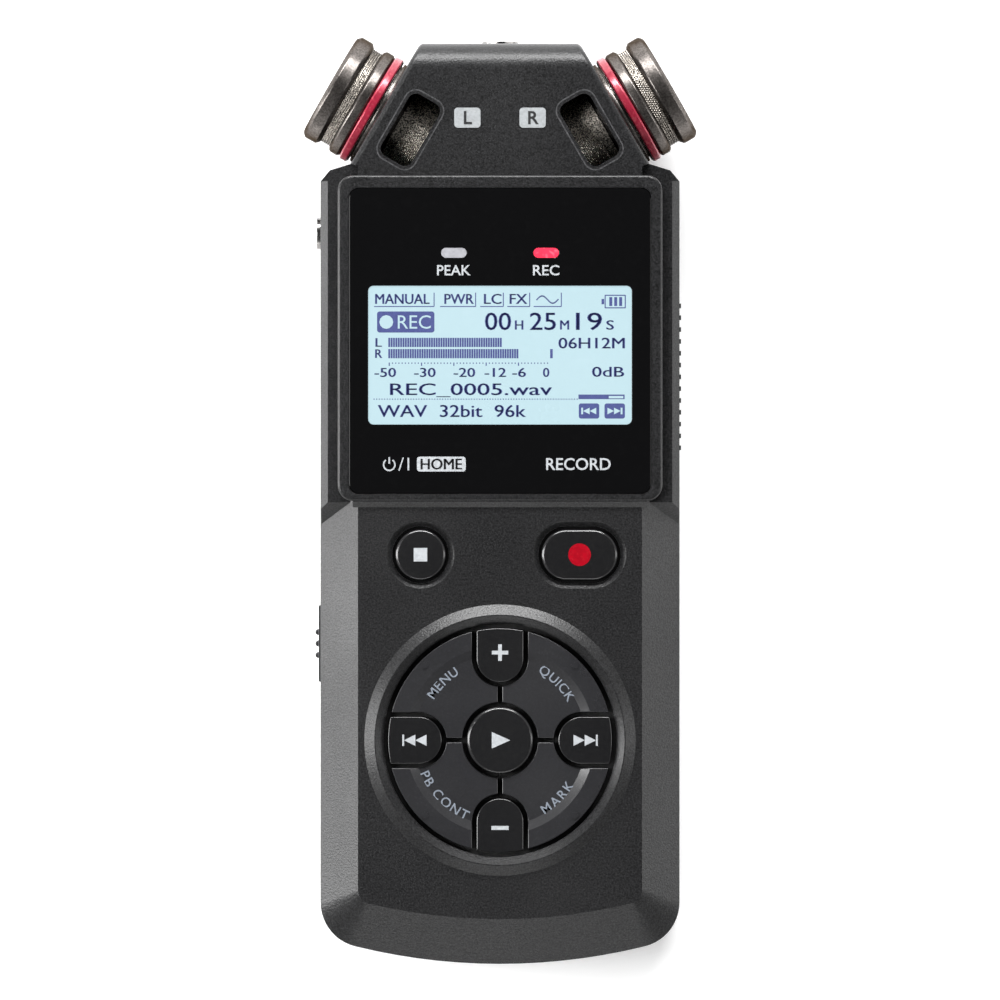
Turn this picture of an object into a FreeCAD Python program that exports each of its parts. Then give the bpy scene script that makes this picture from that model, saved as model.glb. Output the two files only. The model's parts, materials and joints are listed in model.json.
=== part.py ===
import FreeCAD, Part
import math
import os
import re
import Sketcher

# Handheld stereo recorder lying on its back: +Z comes out of the front face,
# +Y points to the microphones, +X to the card door side. Millimetres.
# The origin is the middle of the back face.

doc = FreeCAD.newDocument("recorder")
sheet = doc.addObject("Spreadsheet::Sheet", "Dims")

driving = [
    ("body_width", 54.6, "width of the body between its straight sides"),
    ("head_end", 69.4, "origin to the microphone end of the body"),
    ("foot_end", 70.55, "origin to the lowest point of the foot arc"),
    ("case_thick", 26.0, "back face to the top of the display frame"),
    ("split_level", 13.0, "height of the joint line between the cases"),
    ("wall_thick", 1.8, "wall of both cases"),
    ("back_round", 1.6, "rounding of the back edges"),
    ("foot_radius", 92.0, "radius of the foot arc"),
    ("corner_radius", 6.9, "rounding of the foot corners"),
    ("bevel_width", 5.75, "width of the side bevel seen from the front"),
    ("bevel_drop", 4.5, "height of the bevel"),
    ("bevel_foot", 6.95, "width of the bevel at the foot"),
    ("panel_radius", 84.0, "radius of the foot edge of the key panel"),
    ("panel_corner", 2.2, "corner rounding of the key panel"),
    ("bezel_rise", 1.0, "display frame above the key panel"),
    ("bezel_inset", 2.65, "body side to the side of the display frame"),
    ("bezel_drop", 20.1, "microphone end to the upper edge of the frame"),
    ("bezel_length", 49.45, "length of the display frame"),
    ("bezel_corner", 2.4, "corner rounding of the display frame"),
    ("glass_margin", 1.8, "width of the frame beside the window"),
    ("glass_thick", 1.6, "thickness of the window"),
    ("screen_margin", 2.85, "window edge to the lit area at the sides"),
    ("screen_height", 21.05, "lit area, along the body"),
    ("screen_drop", 16.8, "frame top to the lit area"),
    ("lamp_drop", 11.8, "frame top to the lamps"),
    ("lamp_apart", 7.0, "middle line to each lamp"),
    ("lamp_long", 3.9, "length of a lamp"),
    ("lamp_wide", 1.55, "width of a lamp"),
    ("crown_run", 21.1, "length of the slanted side of the head"),
    ("mic_tilt", 30.0, "angle of the microphone axes off the side"),
    ("shoulder_in", 4.65, "body side to the foot of the slanted side"),
    ("mic_drop", 12.2, "crown corner to the microphone axis"),
    ("mic_radius", 8.8, "radius of the microphone rings"),
    ("mic_reach", 8.9, "slanted side to the front of the microphone"),
    ("barrel_radius", 6.8, "radius of the capsule barrel in the head"),
    ("port_long", 12.05, "opening in the head, across the microphone axis"),
    ("port_wide", 6.6, "opening in the head, along the microphone axis"),
    ("port_lip", 0.65, "width and depth of the sloped lip around that opening"),
    ("port_corner", 1.3, "corner rounding of that opening"),
    ("port_offset", 5.3, "slanted side to the middle of the head opening"),
    ("tag_wide", 4.0, "width of a channel tag"),
    ("tag_long", 3.05, "length of a channel tag"),
    ("tag_corner", 0.55, "corner rounding of a channel tag"),
    ("tag_apart", 4.95, "middle line to each channel tag"),
    ("tag_drop", 11.375, "microphone end to the middle of the channel tags"),
    ("pad_share", 0.789, "key pad radius as a share of half the panel"),
    ("pad_place", 36.3, "display frame to the middle of the key pad"),
    ("pad_gap", 0.7, "gap around and between the pad keys"),
    ("ring_wide", 3.6, "key pad to the outer edge of the raised ring"),
    ("ring_rise", 1.0, "height of the raised ring around the key pad"),
    ("step_run", 0.95, "length of the sloped step below the display frame"),
    ("wing_edge", 1.0, "chamfer along the sides of the display part"),
    ("wing_drop", 0.9, "key panel to the ledge beside the display frame"),
    ("glass_corner", 1.5, "corner rounding of the window"),
    ("hub_radius", 5.05, "radius of the play key"),
    ("arrow_width", 7.1, "width of the four arrow keys"),
    ("arrow_start", 8.85, "middle of the pad to the arrow keys"),
    ("key_place", 8.15, "display frame to the middle of the upper keys"),
    ("key_share", 0.56, "upper key position as a share of half the panel"),
    ("key_radius", 3.85, "radius of the stop key and of the record key ends"),
    ("record_long", 11.6, "length of the record key"),
    ("key_fit", 0.45, "gap around the upper keys"),
    ("key_travel", 0.3, "stroke of a key"),
    ("board_level", 18.0, "underside of the main board"),
    ("board_thick", 1.2, "thickness of the main board"),
    ("jack_radius", 1.82, "bore of the jacks"),
    ("phones_radius", 2.4, "collar of the headphone jack"),
    ("phones_drop", 28.8, "microphone end to the headphone jack"),
    ("input_radius", 2.75, "collar of the microphone jack"),
    ("hold_place", 48.7, "foot end to the middle of the hold switch"),
    ("hold_long", 11.6, "length of the hold switch"),
    ("hold_travel", 2.0, "stroke of the hold switch"),
    ("card_place", 18.85, "display frame to the middle of the card door"),
    ("card_wide", 25.6, "length of the card door"),
    ("cell_radius", 7.25, "radius of one cell"),
    ("cell_long", 49.2, "length of one cell without its button"),
    ("door_half", 16.0, "half width of the battery door"),
    ("door_end", 61.5, "foot end to the inner end of the battery door"),
    ("slide_gap", 0.2, "gap of the battery door in its grooves"),
    ("tripod_place", 75.5, "foot end to the tripod thread"),
    ("tripod_radius", 3.3, "bore of the tripod thread"),
    ("speaker_place", 97.5, "foot end to the loudspeaker"),
    ("speaker_radius", 9.0, "radius of the loudspeaker"),
    ("screw_radius", 1.0, "shank of the case screws"),
    ("screw_in", 5.6, "body side to the foot screws"),
    ("small_gap", 0.1, "play between neighbouring fixed pieces"),
]

for row, (alias, size, meaning) in enumerate(driving, start=1):
    sheet.set("A" + str(row), meaning)
    sheet.set("B" + str(row), str(size))
    sheet.setAlias("B" + str(row), alias)
doc.recompute()


def formula(text):
    """Put the sheet's name before every alias; aliases all hold an underscore."""
    return re.sub(r"[a-z]+(?:_[a-z]+)+", lambda hit: "Dims." + hit.group(0), str(text))


def value(text):
    answer = sheet.evalExpression(formula(text))
    return float(getattr(answer, "Value", answer))


def bind(item, field, text):
    item.setExpression(field, formula(text))


# ---- derived sizes, all as formulas of the sheet ----
half = "(body_width / 2)"
bezelHalf = "(body_width / 2 - bezel_inset)"
bezelTop = "(head_end - bezel_drop)"
bezelFoot = "(head_end - bezel_drop - bezel_length)"
panelHalf = "(body_width / 2 - bevel_width)"
panelTop = "(case_thick - bezel_rise)"
bevelLow = "(case_thick - bezel_rise - bevel_drop)"
roofUnder = "(case_thick - bezel_rise - wall_thick)"
glassHalf = "(body_width / 2 - bezel_inset - glass_margin)"
glassTop = f"({bezelTop} - 2)"
glassFoot = f"({bezelFoot} + 1.15)"
glassSeat = "(case_thick - 0.1 - glass_thick)"
screenHalf = f"({glassHalf} - screen_margin)"
screenTop = f"({bezelTop} - screen_drop)"
screenFoot = f"({bezelTop} - screen_drop - screen_height)"
crownHalf = "(body_width / 2 - shoulder_in - crown_run * sin(mic_tilt))"
crownFoot = "(head_end - crown_run * cos(mic_tilt))"
shoulderLow = f"({crownFoot} - 2.7)"
padRadius = f"(pad_share * {panelHalf})"
padMid = f"({bezelFoot} - pad_place)"
keyRow = f"({bezelFoot} - key_place)"
keySide = f"(key_share * {panelHalf})"
boardTop = "(board_level + board_thick)"
switchTop = f"({boardTop} + 2)"
stemFoot = f"({switchTop} + key_travel + 0.05)"
keyFoot = f"({switchTop} + 1.2)"
jackLevel = "(board_level - 2.45)"
inputLevel = "(split_level + input_radius + 0.05)"
sideLevel = "(board_level - 1.5)"
doorEnd = "(-foot_end + door_end)"
cellMid = "(2.5 + cell_radius)"
cardMid = f"({bezelFoot} + card_place)"


# ---- small tools for sketches and features ----
def newBody(label):
    body = doc.addObject("PartDesign::Body", label)
    body.Label = label
    return body


def newSketch(body, name, level="0", role="XY_Plane"):
    sketch = body.newObject("Sketcher::SketchObject", name)
    base = [item for item in body.Origin.OriginFeatures if item.Role == role][0]
    sketch.AttachmentSupport = (base, [""])
    sketch.MapMode = "FlatFace"
    bind(sketch, "AttachmentOffset.Base.z", level)
    return sketch


def limit(sketch, kind, *target):
    """Add a sized constraint whose size is a formula."""
    text = target[-1]
    size = value(text)
    number = sketch.addConstraint(Sketcher.Constraint(kind, *target[:-1], size))
    sketch.setExpression("Constraints[" + str(number) + "]", formula(text))


def pin(sketch, edge, end, across, along):
    limit(sketch, "DistanceX", -1, 1, edge, end, across)
    limit(sketch, "DistanceY", -1, 1, edge, end, along)


def polygon(sketch, corners):
    spots = [FreeCAD.Vector(value(x), value(y), 0) for x, y in corners]
    count = len(spots)
    edges = []
    for index in range(count):
        line = Part.LineSegment(spots[index], spots[(index + 1) % count])
        edges.append(sketch.addGeometry(line))
    for index in range(count):
        following = edges[(index + 1) % count]
        sketch.addConstraint(Sketcher.Constraint("Coincident", edges[index], 2, following, 1))
    for index, (x, y) in enumerate(corners):
        pin(sketch, edges[index], 1, x, y)


def rectangle(sketch, left, low, right, high):
    polygon(sketch, [(left, low), (right, low), (right, high), (left, high)])


def circle(sketch, across, along, radius):
    spot = FreeCAD.Vector(value(across), value(along), 0)
    ring = sketch.addGeometry(Part.Circle(spot, FreeCAD.Vector(0, 0, 1), value(radius)))
    pin(sketch, ring, 3, across, along)
    limit(sketch, "Radius", ring, radius)


def arcBetween(centre, radius, start, end):
    ring = Part.Circle(centre, FreeCAD.Vector(0, 0, 1), radius)
    return Part.ArcOfCircle(ring, start, end)


def pill(sketch, across, along, reach, radius):
    """A slot lying along X: half circles of the radius, centres reach apart from the middle."""
    x, y, r, run = value(across), value(along), value(radius), value(reach)
    right = sketch.addGeometry(
        arcBetween(FreeCAD.Vector(x + run, y, 0), r, -math.pi / 2, math.pi / 2)
    )
    left = sketch.addGeometry(
        arcBetween(FreeCAD.Vector(x - run, y, 0), r, math.pi / 2, 3 * math.pi / 2)
    )
    top = sketch.addGeometry(
        Part.LineSegment(FreeCAD.Vector(x + run, y + r, 0), FreeCAD.Vector(x - run, y + r, 0))
    )
    low = sketch.addGeometry(
        Part.LineSegment(FreeCAD.Vector(x - run, y - r, 0), FreeCAD.Vector(x + run, y - r, 0))
    )
    for first, second in ((right, top), (top, left), (left, low), (low, right)):
        sketch.addConstraint(Sketcher.Constraint("Tangent", first, 2, second, 1))
    pin(sketch, right, 3, f"{across} + {reach}", along)
    pin(sketch, left, 3, f"{across} - ({reach})", along)
    limit(sketch, "Radius", right, radius)


def tub(sketch, side, top, foot, footRadius, corner):
    """Straight sides closed by a foot arc with rounded corners; side, foot are distances."""
    w, high, low = value(side), value(top), value(foot)
    big, small = value(footRadius), value(corner)
    centre = FreeCAD.Vector(0, big - low, 0)
    cornerY = centre.y - math.sqrt((big - small) ** 2 - (w - small) ** 2)
    right = FreeCAD.Vector(w - small, cornerY, 0)
    left = FreeCAD.Vector(small - w, cornerY, 0)
    lean = math.atan2(right.y - centre.y, right.x - centre.x)
    other = math.atan2(left.y - centre.y, left.x - centre.x)
    shapes = [
        Part.LineSegment(FreeCAD.Vector(-w, high, 0), FreeCAD.Vector(-w, cornerY, 0)),
        arcBetween(left, small, math.pi, other + 2 * math.pi),
        arcBetween(centre, big, other, lean),
        arcBetween(right, small, lean, 0),
        Part.LineSegment(FreeCAD.Vector(w, cornerY, 0), FreeCAD.Vector(w, high, 0)),
        Part.LineSegment(FreeCAD.Vector(w, high, 0), FreeCAD.Vector(-w, high, 0)),
    ]
    edges = [sketch.addGeometry(shape) for shape in shapes]
    for first, second in zip(edges[0:4], edges[1:5]):
        sketch.addConstraint(Sketcher.Constraint("Tangent", first, 2, second, 1))
    sketch.addConstraint(Sketcher.Constraint("Coincident", edges[4], 2, edges[5], 1))
    sketch.addConstraint(Sketcher.Constraint("Coincident", edges[5], 2, edges[0], 1))
    pin(sketch, edges[0], 1, f"-({side})", top)
    pin(sketch, edges[4], 2, side, top)
    pin(sketch, edges[2], 3, "0", f"({footRadius}) - ({foot})")
    limit(sketch, "Radius", edges[2], footRadius)
    limit(sketch, "Radius", edges[1], corner)
    limit(sketch, "Radius", edges[3], corner)


def pad(body, sketch, length, taper=0):
    feature = body.newObject("PartDesign::Pad", "Pad")
    feature.Profile = sketch
    bind(feature, "Length", length)
    feature.TaperAngle = taper
    return feature


def pocket(body, sketch, length, taper=0, upward=False):
    feature = body.newObject("PartDesign::Pocket", "Pocket")
    feature.Profile = sketch
    bind(feature, "Length", length)
    feature.TaperAngle = taper
    feature.Reversed = upward
    return feature


def revolve(body, sketch):
    feature = body.newObject("PartDesign::Revolution", "Turn")
    feature.Profile = sketch
    feature.ReferenceAxis = (sketch, ["V_Axis"])
    feature.Angle = 360
    return feature


def edgesWhere(feature, test):
    doc.recompute()
    found = []
    for number, edge in enumerate(feature.Shape.Edges, start=1):
        if test(edge):
            found.append("Edge" + str(number))
    return found


def fillet(body, feature, radius, test):
    rounding = body.newObject("PartDesign::Fillet", "Fillet")
    rounding.Base = (feature, edgesWhere(feature, test))
    bind(rounding, "Radius", radius)
    return rounding


def upright(edge):
    start, end = edge.Vertexes[0].Point, edge.Vertexes[-1].Point
    flat = abs(start.x - end.x) + abs(start.y - end.y)
    return flat < 1e-6 and abs(start.z - end.z) > 0.1


def rising(edge):
    return edge.BoundBox.ZLength > 0.1


def atLevel(level):
    def test(edge):
        box = edge.BoundBox
        return abs(box.ZMin - level) < 1e-4 and abs(box.ZMax - level) < 1e-4

    return test


def box(name, low, size):
    item = doc.addObject("Part::Box", name)
    for field, text in zip(("Length", "Width", "Height"), size):
        bind(item, field, text)
    for field, text in zip("xyz", low):
        bind(item, "Placement.Base." + field, text)
    return item


turns = {
    "X": FreeCAD.Rotation(FreeCAD.Vector(0, 1, 0), 90),
    "Y": FreeCAD.Rotation(FreeCAD.Vector(1, 0, 0), -90),
    "Z": FreeCAD.Rotation(),
}


def rod(name, start, radius, length, along="Z"):
    """A cylinder from the start point along +X, +Y or +Z."""
    item = doc.addObject("Part::Cylinder", name)
    bind(item, "Radius", radius)
    bind(item, "Height", length)
    item.Placement.Rotation = turns[along]
    for field, text in zip("xyz", start):
        bind(item, "Placement.Base." + field, text)
    return item


def join(name, items):
    item = doc.addObject("Part::MultiFuse", name)
    item.Shapes = items
    return item


def cut(name, base, tool):
    item = doc.addObject("Part::Cut", name)
    item.Base = base
    item.Tool = tool
    return item


def group(name, items):
    item = doc.addObject("Part::Compound", name)
    item.Links = items
    return item


finished = []


def done(item, label):
    item.Label = label
    finished.append(item)
    return item


# ---- microphone frames ----
tilt = math.radians(value("mic_tilt"))


def micPlace(side, reach="0"):
    """Placement whose Z runs out of the microphone on the given side (-1 left, 1 right)."""
    x = value(f"{crownHalf} + mic_drop * sin(mic_tilt)")
    y = value("head_end - mic_drop * cos(mic_tilt)")
    out = FreeCAD.Vector(side * math.cos(tilt), math.sin(tilt), 0)
    turn = FreeCAD.Rotation(FreeCAD.Vector(0, 0, 1), out)
    start = FreeCAD.Vector(side * x, y, value("split_level"))
    return FreeCAD.Placement(start + out * value(reach), turn)


def micTurned(label, side, corners):
    """A ring turned about the microphone axis; corners are (radius, distance from the case)."""
    body = newBody(label)
    sketch = newSketch(body, "Profile", role="XZ_Plane")
    polygon(sketch, corners)
    revolve(body, sketch)
    body.Placement = micPlace(side)
    return done(body, label)


def ringCorners(inner, outer, start, end, ease="0.3"):
    return [
        (inner, start),
        (f"{outer} - {ease}", start),
        (outer, f"{start} + {ease}"),
        (outer, f"{end} - {ease}"),
        (f"{outer} - {ease}", end),
        (inner, end),
    ]


# Bands of one microphone as distances from the slanted side of the head.
guardFoot = "(mic_reach - 3.04)"
meshFoot = "(mic_reach - 4.59)"
collarFoot = "(mic_reach - 6.59)"
bandFoot = "(mic_reach - 7.93)"
for side, name in ((-1, "left"), (1, "right")):
    micTurned(
        name + "_mic_guard",
        side,
        ringCorners("mic_radius - 1.5", "mic_radius", guardFoot, "mic_reach", "0.6"),
    )
    micTurned(
        name + "_mic_grille",
        side,
        [
            ("0", f"{guardFoot} + 0.9"),
            ("mic_radius - 1.6", f"{guardFoot} + 0.9"),
            ("mic_radius - 1.6", f"{guardFoot} + 1.4"),
            ("mic_radius - 3.5", "mic_reach - 0.9"),
            ("0", "mic_reach - 0.6"),
        ],
    )
    micTurned(
        name + "_mic_mesh",
        side,
        ringCorners("mic_radius - 1.5", "mic_radius - 0.85", meshFoot, guardFoot, "0.05"),
    )
    micTurned(
        name + "_mic_collar",
        side,
        ringCorners("mic_radius - 2.2", "mic_radius - 0.03", collarFoot, meshFoot, "0.4"),
    )
    micTurned(
        name + "_mic_band",
        side,
        ringCorners("mic_radius - 2.2", "mic_radius + 0.1", bandFoot, collarFoot, "0.2"),
    )
    micTurned(
        name + "_mic_base",
        side,
        [
            ("mic_radius - 4", "-3"),
            ("mic_radius - 2.4", "-3"),
            ("mic_radius - 2.4", "0"),
            ("mic_radius - 0.35", "0"),
            ("mic_radius - 0.35", "0.6"),
            ("mic_radius - 0.9", "0.6"),
            ("mic_radius - 0.9", "0.86"),
            ("mic_radius - 0.2", "0.86"),
            ("mic_radius - 0.2", bandFoot),
            ("mic_radius - 4", bandFoot),
        ],
    )
    micTurned(
        name + "_mic_boot",
        side,
        ringCorners("mic_radius - 3.9", "mic_radius - 2.3", f"{bandFoot} + 0.1", f"{guardFoot} - 0.2", "0.5"),
    )
    micTurned(
        name + "_mic_capsule",
        side,
        ringCorners("0", "mic_radius - 4", f"{bandFoot} + 0.2", f"{guardFoot} + 0.6", "0.3"),
    )
    micTurned(
        name + "_mic_barrel",
        side,
        [
            ("0", "-10.4"),
            ("barrel_radius - 0.6", "-10.4"),
            ("barrel_radius", "-9.8"),
            ("barrel_radius", "-3.1"),
            ("mic_radius - 4.1", "-3.1"),
            ("mic_radius - 4.1", "0.8"),
            ("2.5", "0.8"),
            ("2.5", "-9.4"),
            ("0", "-9.4"),
        ],
    )


def headCorners(inset):
    """Head outline from the shoulder up, moved in by the inset."""
    lean = f"({inset}) / cos(mic_tilt)"
    drop = f"(({inset}) * (1 - sin(mic_tilt)) / cos(mic_tilt))"
    right = [
        (f"{half} - ({inset})", f"{shoulderLow} - 6"),
        (f"{half} - ({inset})", shoulderLow),
        (f"{half} - ({inset}) - 1.4", f"{shoulderLow} + 1.7 - ({inset}) * 0.3"),
        (f"{half} - shoulder_in - ({inset}) * 0.95", f"{crownFoot} - ({inset}) * 0.4"),
        (f"{crownHalf} - {drop}", f"head_end - ({inset})"),
    ]
    left = [("-(" + x + ")", y) for x, y in reversed(right)]
    return right + left


def headBlock(inset="0"):
    """Full-height part of the head: narrows to the key panel below its slanted sides."""
    right = [
        (f"{panelHalf} - ({inset}) * 0.2", f"{shoulderLow} - 3"),
        (f"{panelHalf} - ({inset}) * 0.2", f"{crownFoot} - 0.5 - ({inset}) * 0.3"),
        (f"{half} - shoulder_in - ({inset}) * 1.05", f"{crownFoot} - ({inset}) * 0.2"),
        (f"{crownHalf} - ({inset}) * 0.6", f"head_end - ({inset})"),
    ]
    left = [("-(" + x + ")", y) for x, y in reversed(right)]
    return right + left


def inTub(inset, corner):
    return (
        f"{half} - ({inset})",
        shoulderLow,
        f"foot_end - ({inset})",
        f"foot_radius - ({inset})",
        corner,
    )


# ---- front case ----
front = newBody("front_shell")
sketch = newSketch(front, "SideOutline", "split_level")
tub(sketch, *inTub("0", "corner_radius"))
pad(front, sketch, f"{bevelLow} - split_level")
low = newSketch(front, "BevelFoot", bevelLow)
tub(low, *inTub("0", "corner_radius"))
high = newSketch(front, "PanelOutline", panelTop)
tub(high, panelHalf, shoulderLow, "foot_end - bevel_foot", "panel_radius", "panel_corner")
loft = front.newObject("PartDesign::AdditiveLoft", "Bevel")
loft.Profile = low
loft.Sections = [high]
loft.Ruled = True
sketch = newSketch(front, "ShoulderOutline", "split_level")
polygon(sketch, headCorners("0"))
pad(front, sketch, f"{bevelLow} - split_level")
# Upright sides of the display part, sloping into the bevel at their lower end.
sketch = newSketch(front, "WingSide", "0", "YZ_Plane")
polygon(
    sketch,
    [
        (f"{bezelFoot} - 3.6", f"{bevelLow} - 1"),
        (f"{bezelFoot} - 3.6", bevelLow),
        (f"{bezelFoot} - 0.2", f"{panelTop} - wing_drop"),
        (shoulderLow, f"{panelTop} - wing_drop"),
        (shoulderLow, f"{bevelLow} - 1"),
    ],
)
wings = pad(front, sketch, f"2 * ({half} - 0.15)")
wings.Midplane = True
wingSide = value(f"{half} - 0.15")
wingTop = value(f"{panelTop} - wing_drop")


def wingEdge(edge):
    box = edge.BoundBox
    high = abs(box.ZMax - wingTop) < 1e-4 and abs(box.ZMin - wingTop) < 1e-4
    return high and abs(abs(box.XMin) - wingSide) < 1e-4 and box.YLength > 5


bevelled = front.newObject("PartDesign::Chamfer", "WingChamfer")
bevelled.Base = (wings, edgesWhere(wings, wingEdge))
bind(bevelled, "Size", "wing_edge")
sketch = newSketch(front, "HeadOutline", "split_level")
polygon(sketch, headBlock())
pad(front, sketch, f"{panelTop} - 0.2 - split_level")
sketch = newSketch(front, "FrameOutline", f"{bevelLow} - 1")
rectangle(sketch, f"-{bezelHalf}", bezelFoot, bezelHalf, bezelTop)
frameBlock = pad(front, sketch, f"case_thick - {bevelLow} + 1")
frameFoot = value(bezelFoot)
crestLevel = value("case_thick")
headLevel = value(f"{panelTop} - 0.2")
headY = value("head_end")


def frameCorner(edge):
    spot = edge.Vertexes[0].Point
    side = abs(abs(spot.x) - value(bezelHalf)) < 1e-4
    ends = min(abs(spot.y - frameFoot), abs(spot.y - value(bezelTop))) < 1e-4
    return upright(edge) and side and ends and edge.BoundBox.ZMax > crestLevel - 0.01


corners = fillet(front, frameBlock, "bezel_corner", frameCorner)
crest = fillet(front, corners, "0.45", atLevel(crestLevel))


def crownEdge(edge):
    flat = atLevel(headLevel)(edge)
    return flat and edge.BoundBox.YMin > headY - 0.01


crown = fillet(front, crest, "4", crownEdge)


def slantEdge(edge):
    flat = atLevel(headLevel)(edge)
    steep = edge.BoundBox.YLength > 8 and edge.BoundBox.XLength > 4
    return flat and steep and edge.BoundBox.YMax > headY - 8


slants = fillet(front, crown, "0.9", slantEdge)

# Sloped step from the display frame down to the key panel.
sketch = newSketch(front, "StepSlope", "0", "YZ_Plane")
polygon(
    sketch,
    [
        (f"{bezelFoot} - step_run", f"{panelTop} - 1"),
        (f"{bezelFoot} - step_run", panelTop),
        (f"{bezelFoot} - 0.1", "case_thick - 0.2"),
        (f"{bezelFoot} + 0.6", "case_thick - 0.2"),
        (f"{bezelFoot} + 0.6", f"{panelTop} - 1"),
    ],
)
slope = pad(front, sketch, f"2 * ({panelHalf} + 0.8)")
slope.Midplane = True

# Raised ring around the key pad, then its sloped edge and the opening.
sketch = newSketch(front, "PadRing", panelTop)
circle(sketch, "0", padMid, f"{padRadius} + ring_wide")
pad(front, sketch, "ring_rise", -57)
sketch = newSketch(front, "PadSlope", f"{panelTop} + ring_rise")
circle(sketch, "0", padMid, f"{padRadius} + 1.9")
pocket(front, sketch, "1.25", -45)
sketch = newSketch(front, "PadOpening", "case_thick")
circle(sketch, "0", padMid, f"{padRadius} + pad_gap")
pocket(front, sketch, "case_thick - board_level")

# Dishes and openings of the two upper keys.
sketch = newSketch(front, "StopDish", panelTop)
circle(sketch, f"-{keySide}", keyRow, "key_radius + 1.3")
pocket(front, sketch, "0.7", -48)
sketch = newSketch(front, "RecordDish", panelTop)
pill(sketch, keySide, keyRow, "record_long / 2 - key_radius", "key_radius + 1.3")
pocket(front, sketch, "0.7", -48)
sketch = newSketch(front, "StopOpening", panelTop)
circle(sketch, f"-{keySide}", keyRow, "key_radius + key_fit")
pocket(front, sketch, "5")
sketch = newSketch(front, "RecordOpening", panelTop)
pill(sketch, keySide, keyRow, "record_long / 2 - key_radius", "key_radius + key_fit")
pocket(front, sketch, "5")

# Window seat and the openings below it.
sketch = newSketch(front, "WindowSeat", "case_thick")
rectangle(
    sketch,
    f"-{glassHalf} - small_gap",
    f"{glassFoot} - small_gap",
    f"{glassHalf} + small_gap",
    f"{glassTop} + small_gap",
)
seat = pocket(front, sketch, f"case_thick - {glassSeat}")
seatSide = value(f"{glassHalf} + small_gap")


def seatCorner(edge):
    spot = edge.Vertexes[0].Point
    return upright(edge) and abs(abs(spot.x) - seatSide) < 1e-4 and edge.BoundBox.ZMin > 20


fillet(front, seat, "glass_corner", seatCorner)
sketch = newSketch(front, "ScreenOpening", glassSeat)
rectangle(
    sketch,
    f"-{screenHalf} - 1.2",
    f"{screenFoot} - 1.2",
    f"{screenHalf} + 1.2",
    f"{screenTop} + 1.2",
)
pocket(front, sketch, "6")
for sign in ("-", ""):
    sketch = newSketch(front, "LampOpening", glassSeat)
    pill(
        sketch,
        f"{sign}lamp_apart",
        f"{bezelTop} - lamp_drop",
        "(lamp_long - lamp_wide) / 2",
        "lamp_wide / 2 + small_gap",
    )
    pocket(front, sketch, "6")

# Hollow: wide below the bevel, narrower under the panel, and the head.
sketch = newSketch(front, "WideHollow", f"{bevelLow} - 1.2")
tub(sketch, *inTub("wall_thick", "corner_radius - wall_thick"))
pocket(front, sketch, "10")
sketch = newSketch(front, "NarrowHollow", roofUnder)
tub(
    sketch,
    f"{panelHalf} - 0.35",
    shoulderLow,
    "foot_end - bevel_foot - 0.65",
    "panel_radius - 0.65",
    "panel_corner",
)
pocket(front, sketch, "11")
sketch = newSketch(front, "HeadLowHollow", f"{bevelLow} - 1.2")
polygon(sketch, headCorners("wall_thick"))
pocket(front, sketch, "10")
sketch = newSketch(front, "HeadHollow", f"{roofUnder} - 0.4")
polygon(sketch, headBlock("wall_thick"))
pocket(front, sketch, "11")
doc.recompute()

# Supports for the case screws and for the board, hanging from the roof.
bossSpots = [
    (f"{half} - screw_in", "-foot_end + 9.5"),
    (f"-{half} + screw_in", "-foot_end + 9.5"),
    (f"{half} - 4.4", f"{shoulderLow} - 2.2"),
    (f"-{half} + 4.4", f"{shoulderLow} - 2.2"),
]
boardSpots = [
    (f"{panelHalf} - 1.2", f"{bezelFoot} - 13.1"),
    (f"-{panelHalf} + 1.2", f"{bezelFoot} - 13.1"),
    (f"{panelHalf} - 1.2", "-foot_end + 15.5"),
    (f"-{panelHalf} + 1.2", "-foot_end + 15.5"),
]
sketch = newSketch(front, "CaseBosses", "split_level")
for x, y in bossSpots:
    circle(sketch, x, y, "2.7")
pad(front, sketch, f"{bevelLow} - 0.6 - split_level")
sketch = newSketch(front, "BoardBosses", f"{boardTop} + 0.02")
for x, y in boardSpots:
    circle(sketch, x, y, "2.1")
pad(front, sketch, f"{roofUnder} - {boardTop} + 0.4")
sketch = newSketch(front, "CasePilots", f"{bevelLow} - 2")
for x, y in bossSpots:
    circle(sketch, x, y, "screw_radius + 0.05")
pocket(front, sketch, "9")
sketch = newSketch(front, "BoardPilots", f"{boardTop} + 2.6")
for x, y in boardSpots:
    circle(sketch, x, y, "0.85")
pocket(front, sketch, "9")

# Tools that cut the front case sideways.
cutters = []
for side, name in ((-1, "Left"), (1, "Right")):
    tool = doc.addObject("Part::Cylinder", name + "MicBore")
    bind(tool, "Radius", "mic_radius - 2.3")
    tool.Height = 8
    tool.Placement = micPlace(side, "-5")
    cutters.append(tool)
    for stage, deep, slope in (("Lip", "port_lip", -45), ("Port", "9", 0)):
        sink = newBody(name + stage)
        sketch = newSketch(sink, "Window")
        rectangle(
            sketch,
            "-(port_wide / 2 - port_lip)",
            "-(port_long / 2 - port_lip)",
            "port_wide / 2 - port_lip",
            "port_long / 2 - port_lip",
        )
        block = pad(sink, sketch, deep, slope)
        fillet(sink, block, "port_corner", rising)
        place = micPlace(side, "-port_offset")
        spot = FreeCAD.Vector(place.Base.x, place.Base.y, value(f"{panelTop} - 0.2 - {deep}"))
        lean = FreeCAD.Rotation(FreeCAD.Vector(0, 0, 1), side * value("mic_tilt"))
        sink.Placement = FreeCAD.Placement(spot, lean)
        cutters.append(sink)
cutters.append(
    rod("PhonesBore", (f"-{half} - 1", "head_end - phones_drop", jackLevel), "phones_radius + 0.1", "4", "X")
)
cutters.append(
    rod("InputBore", ("0", "head_end - 4", inputLevel), "input_radius + 0.1", "6", "Y")
)
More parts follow.
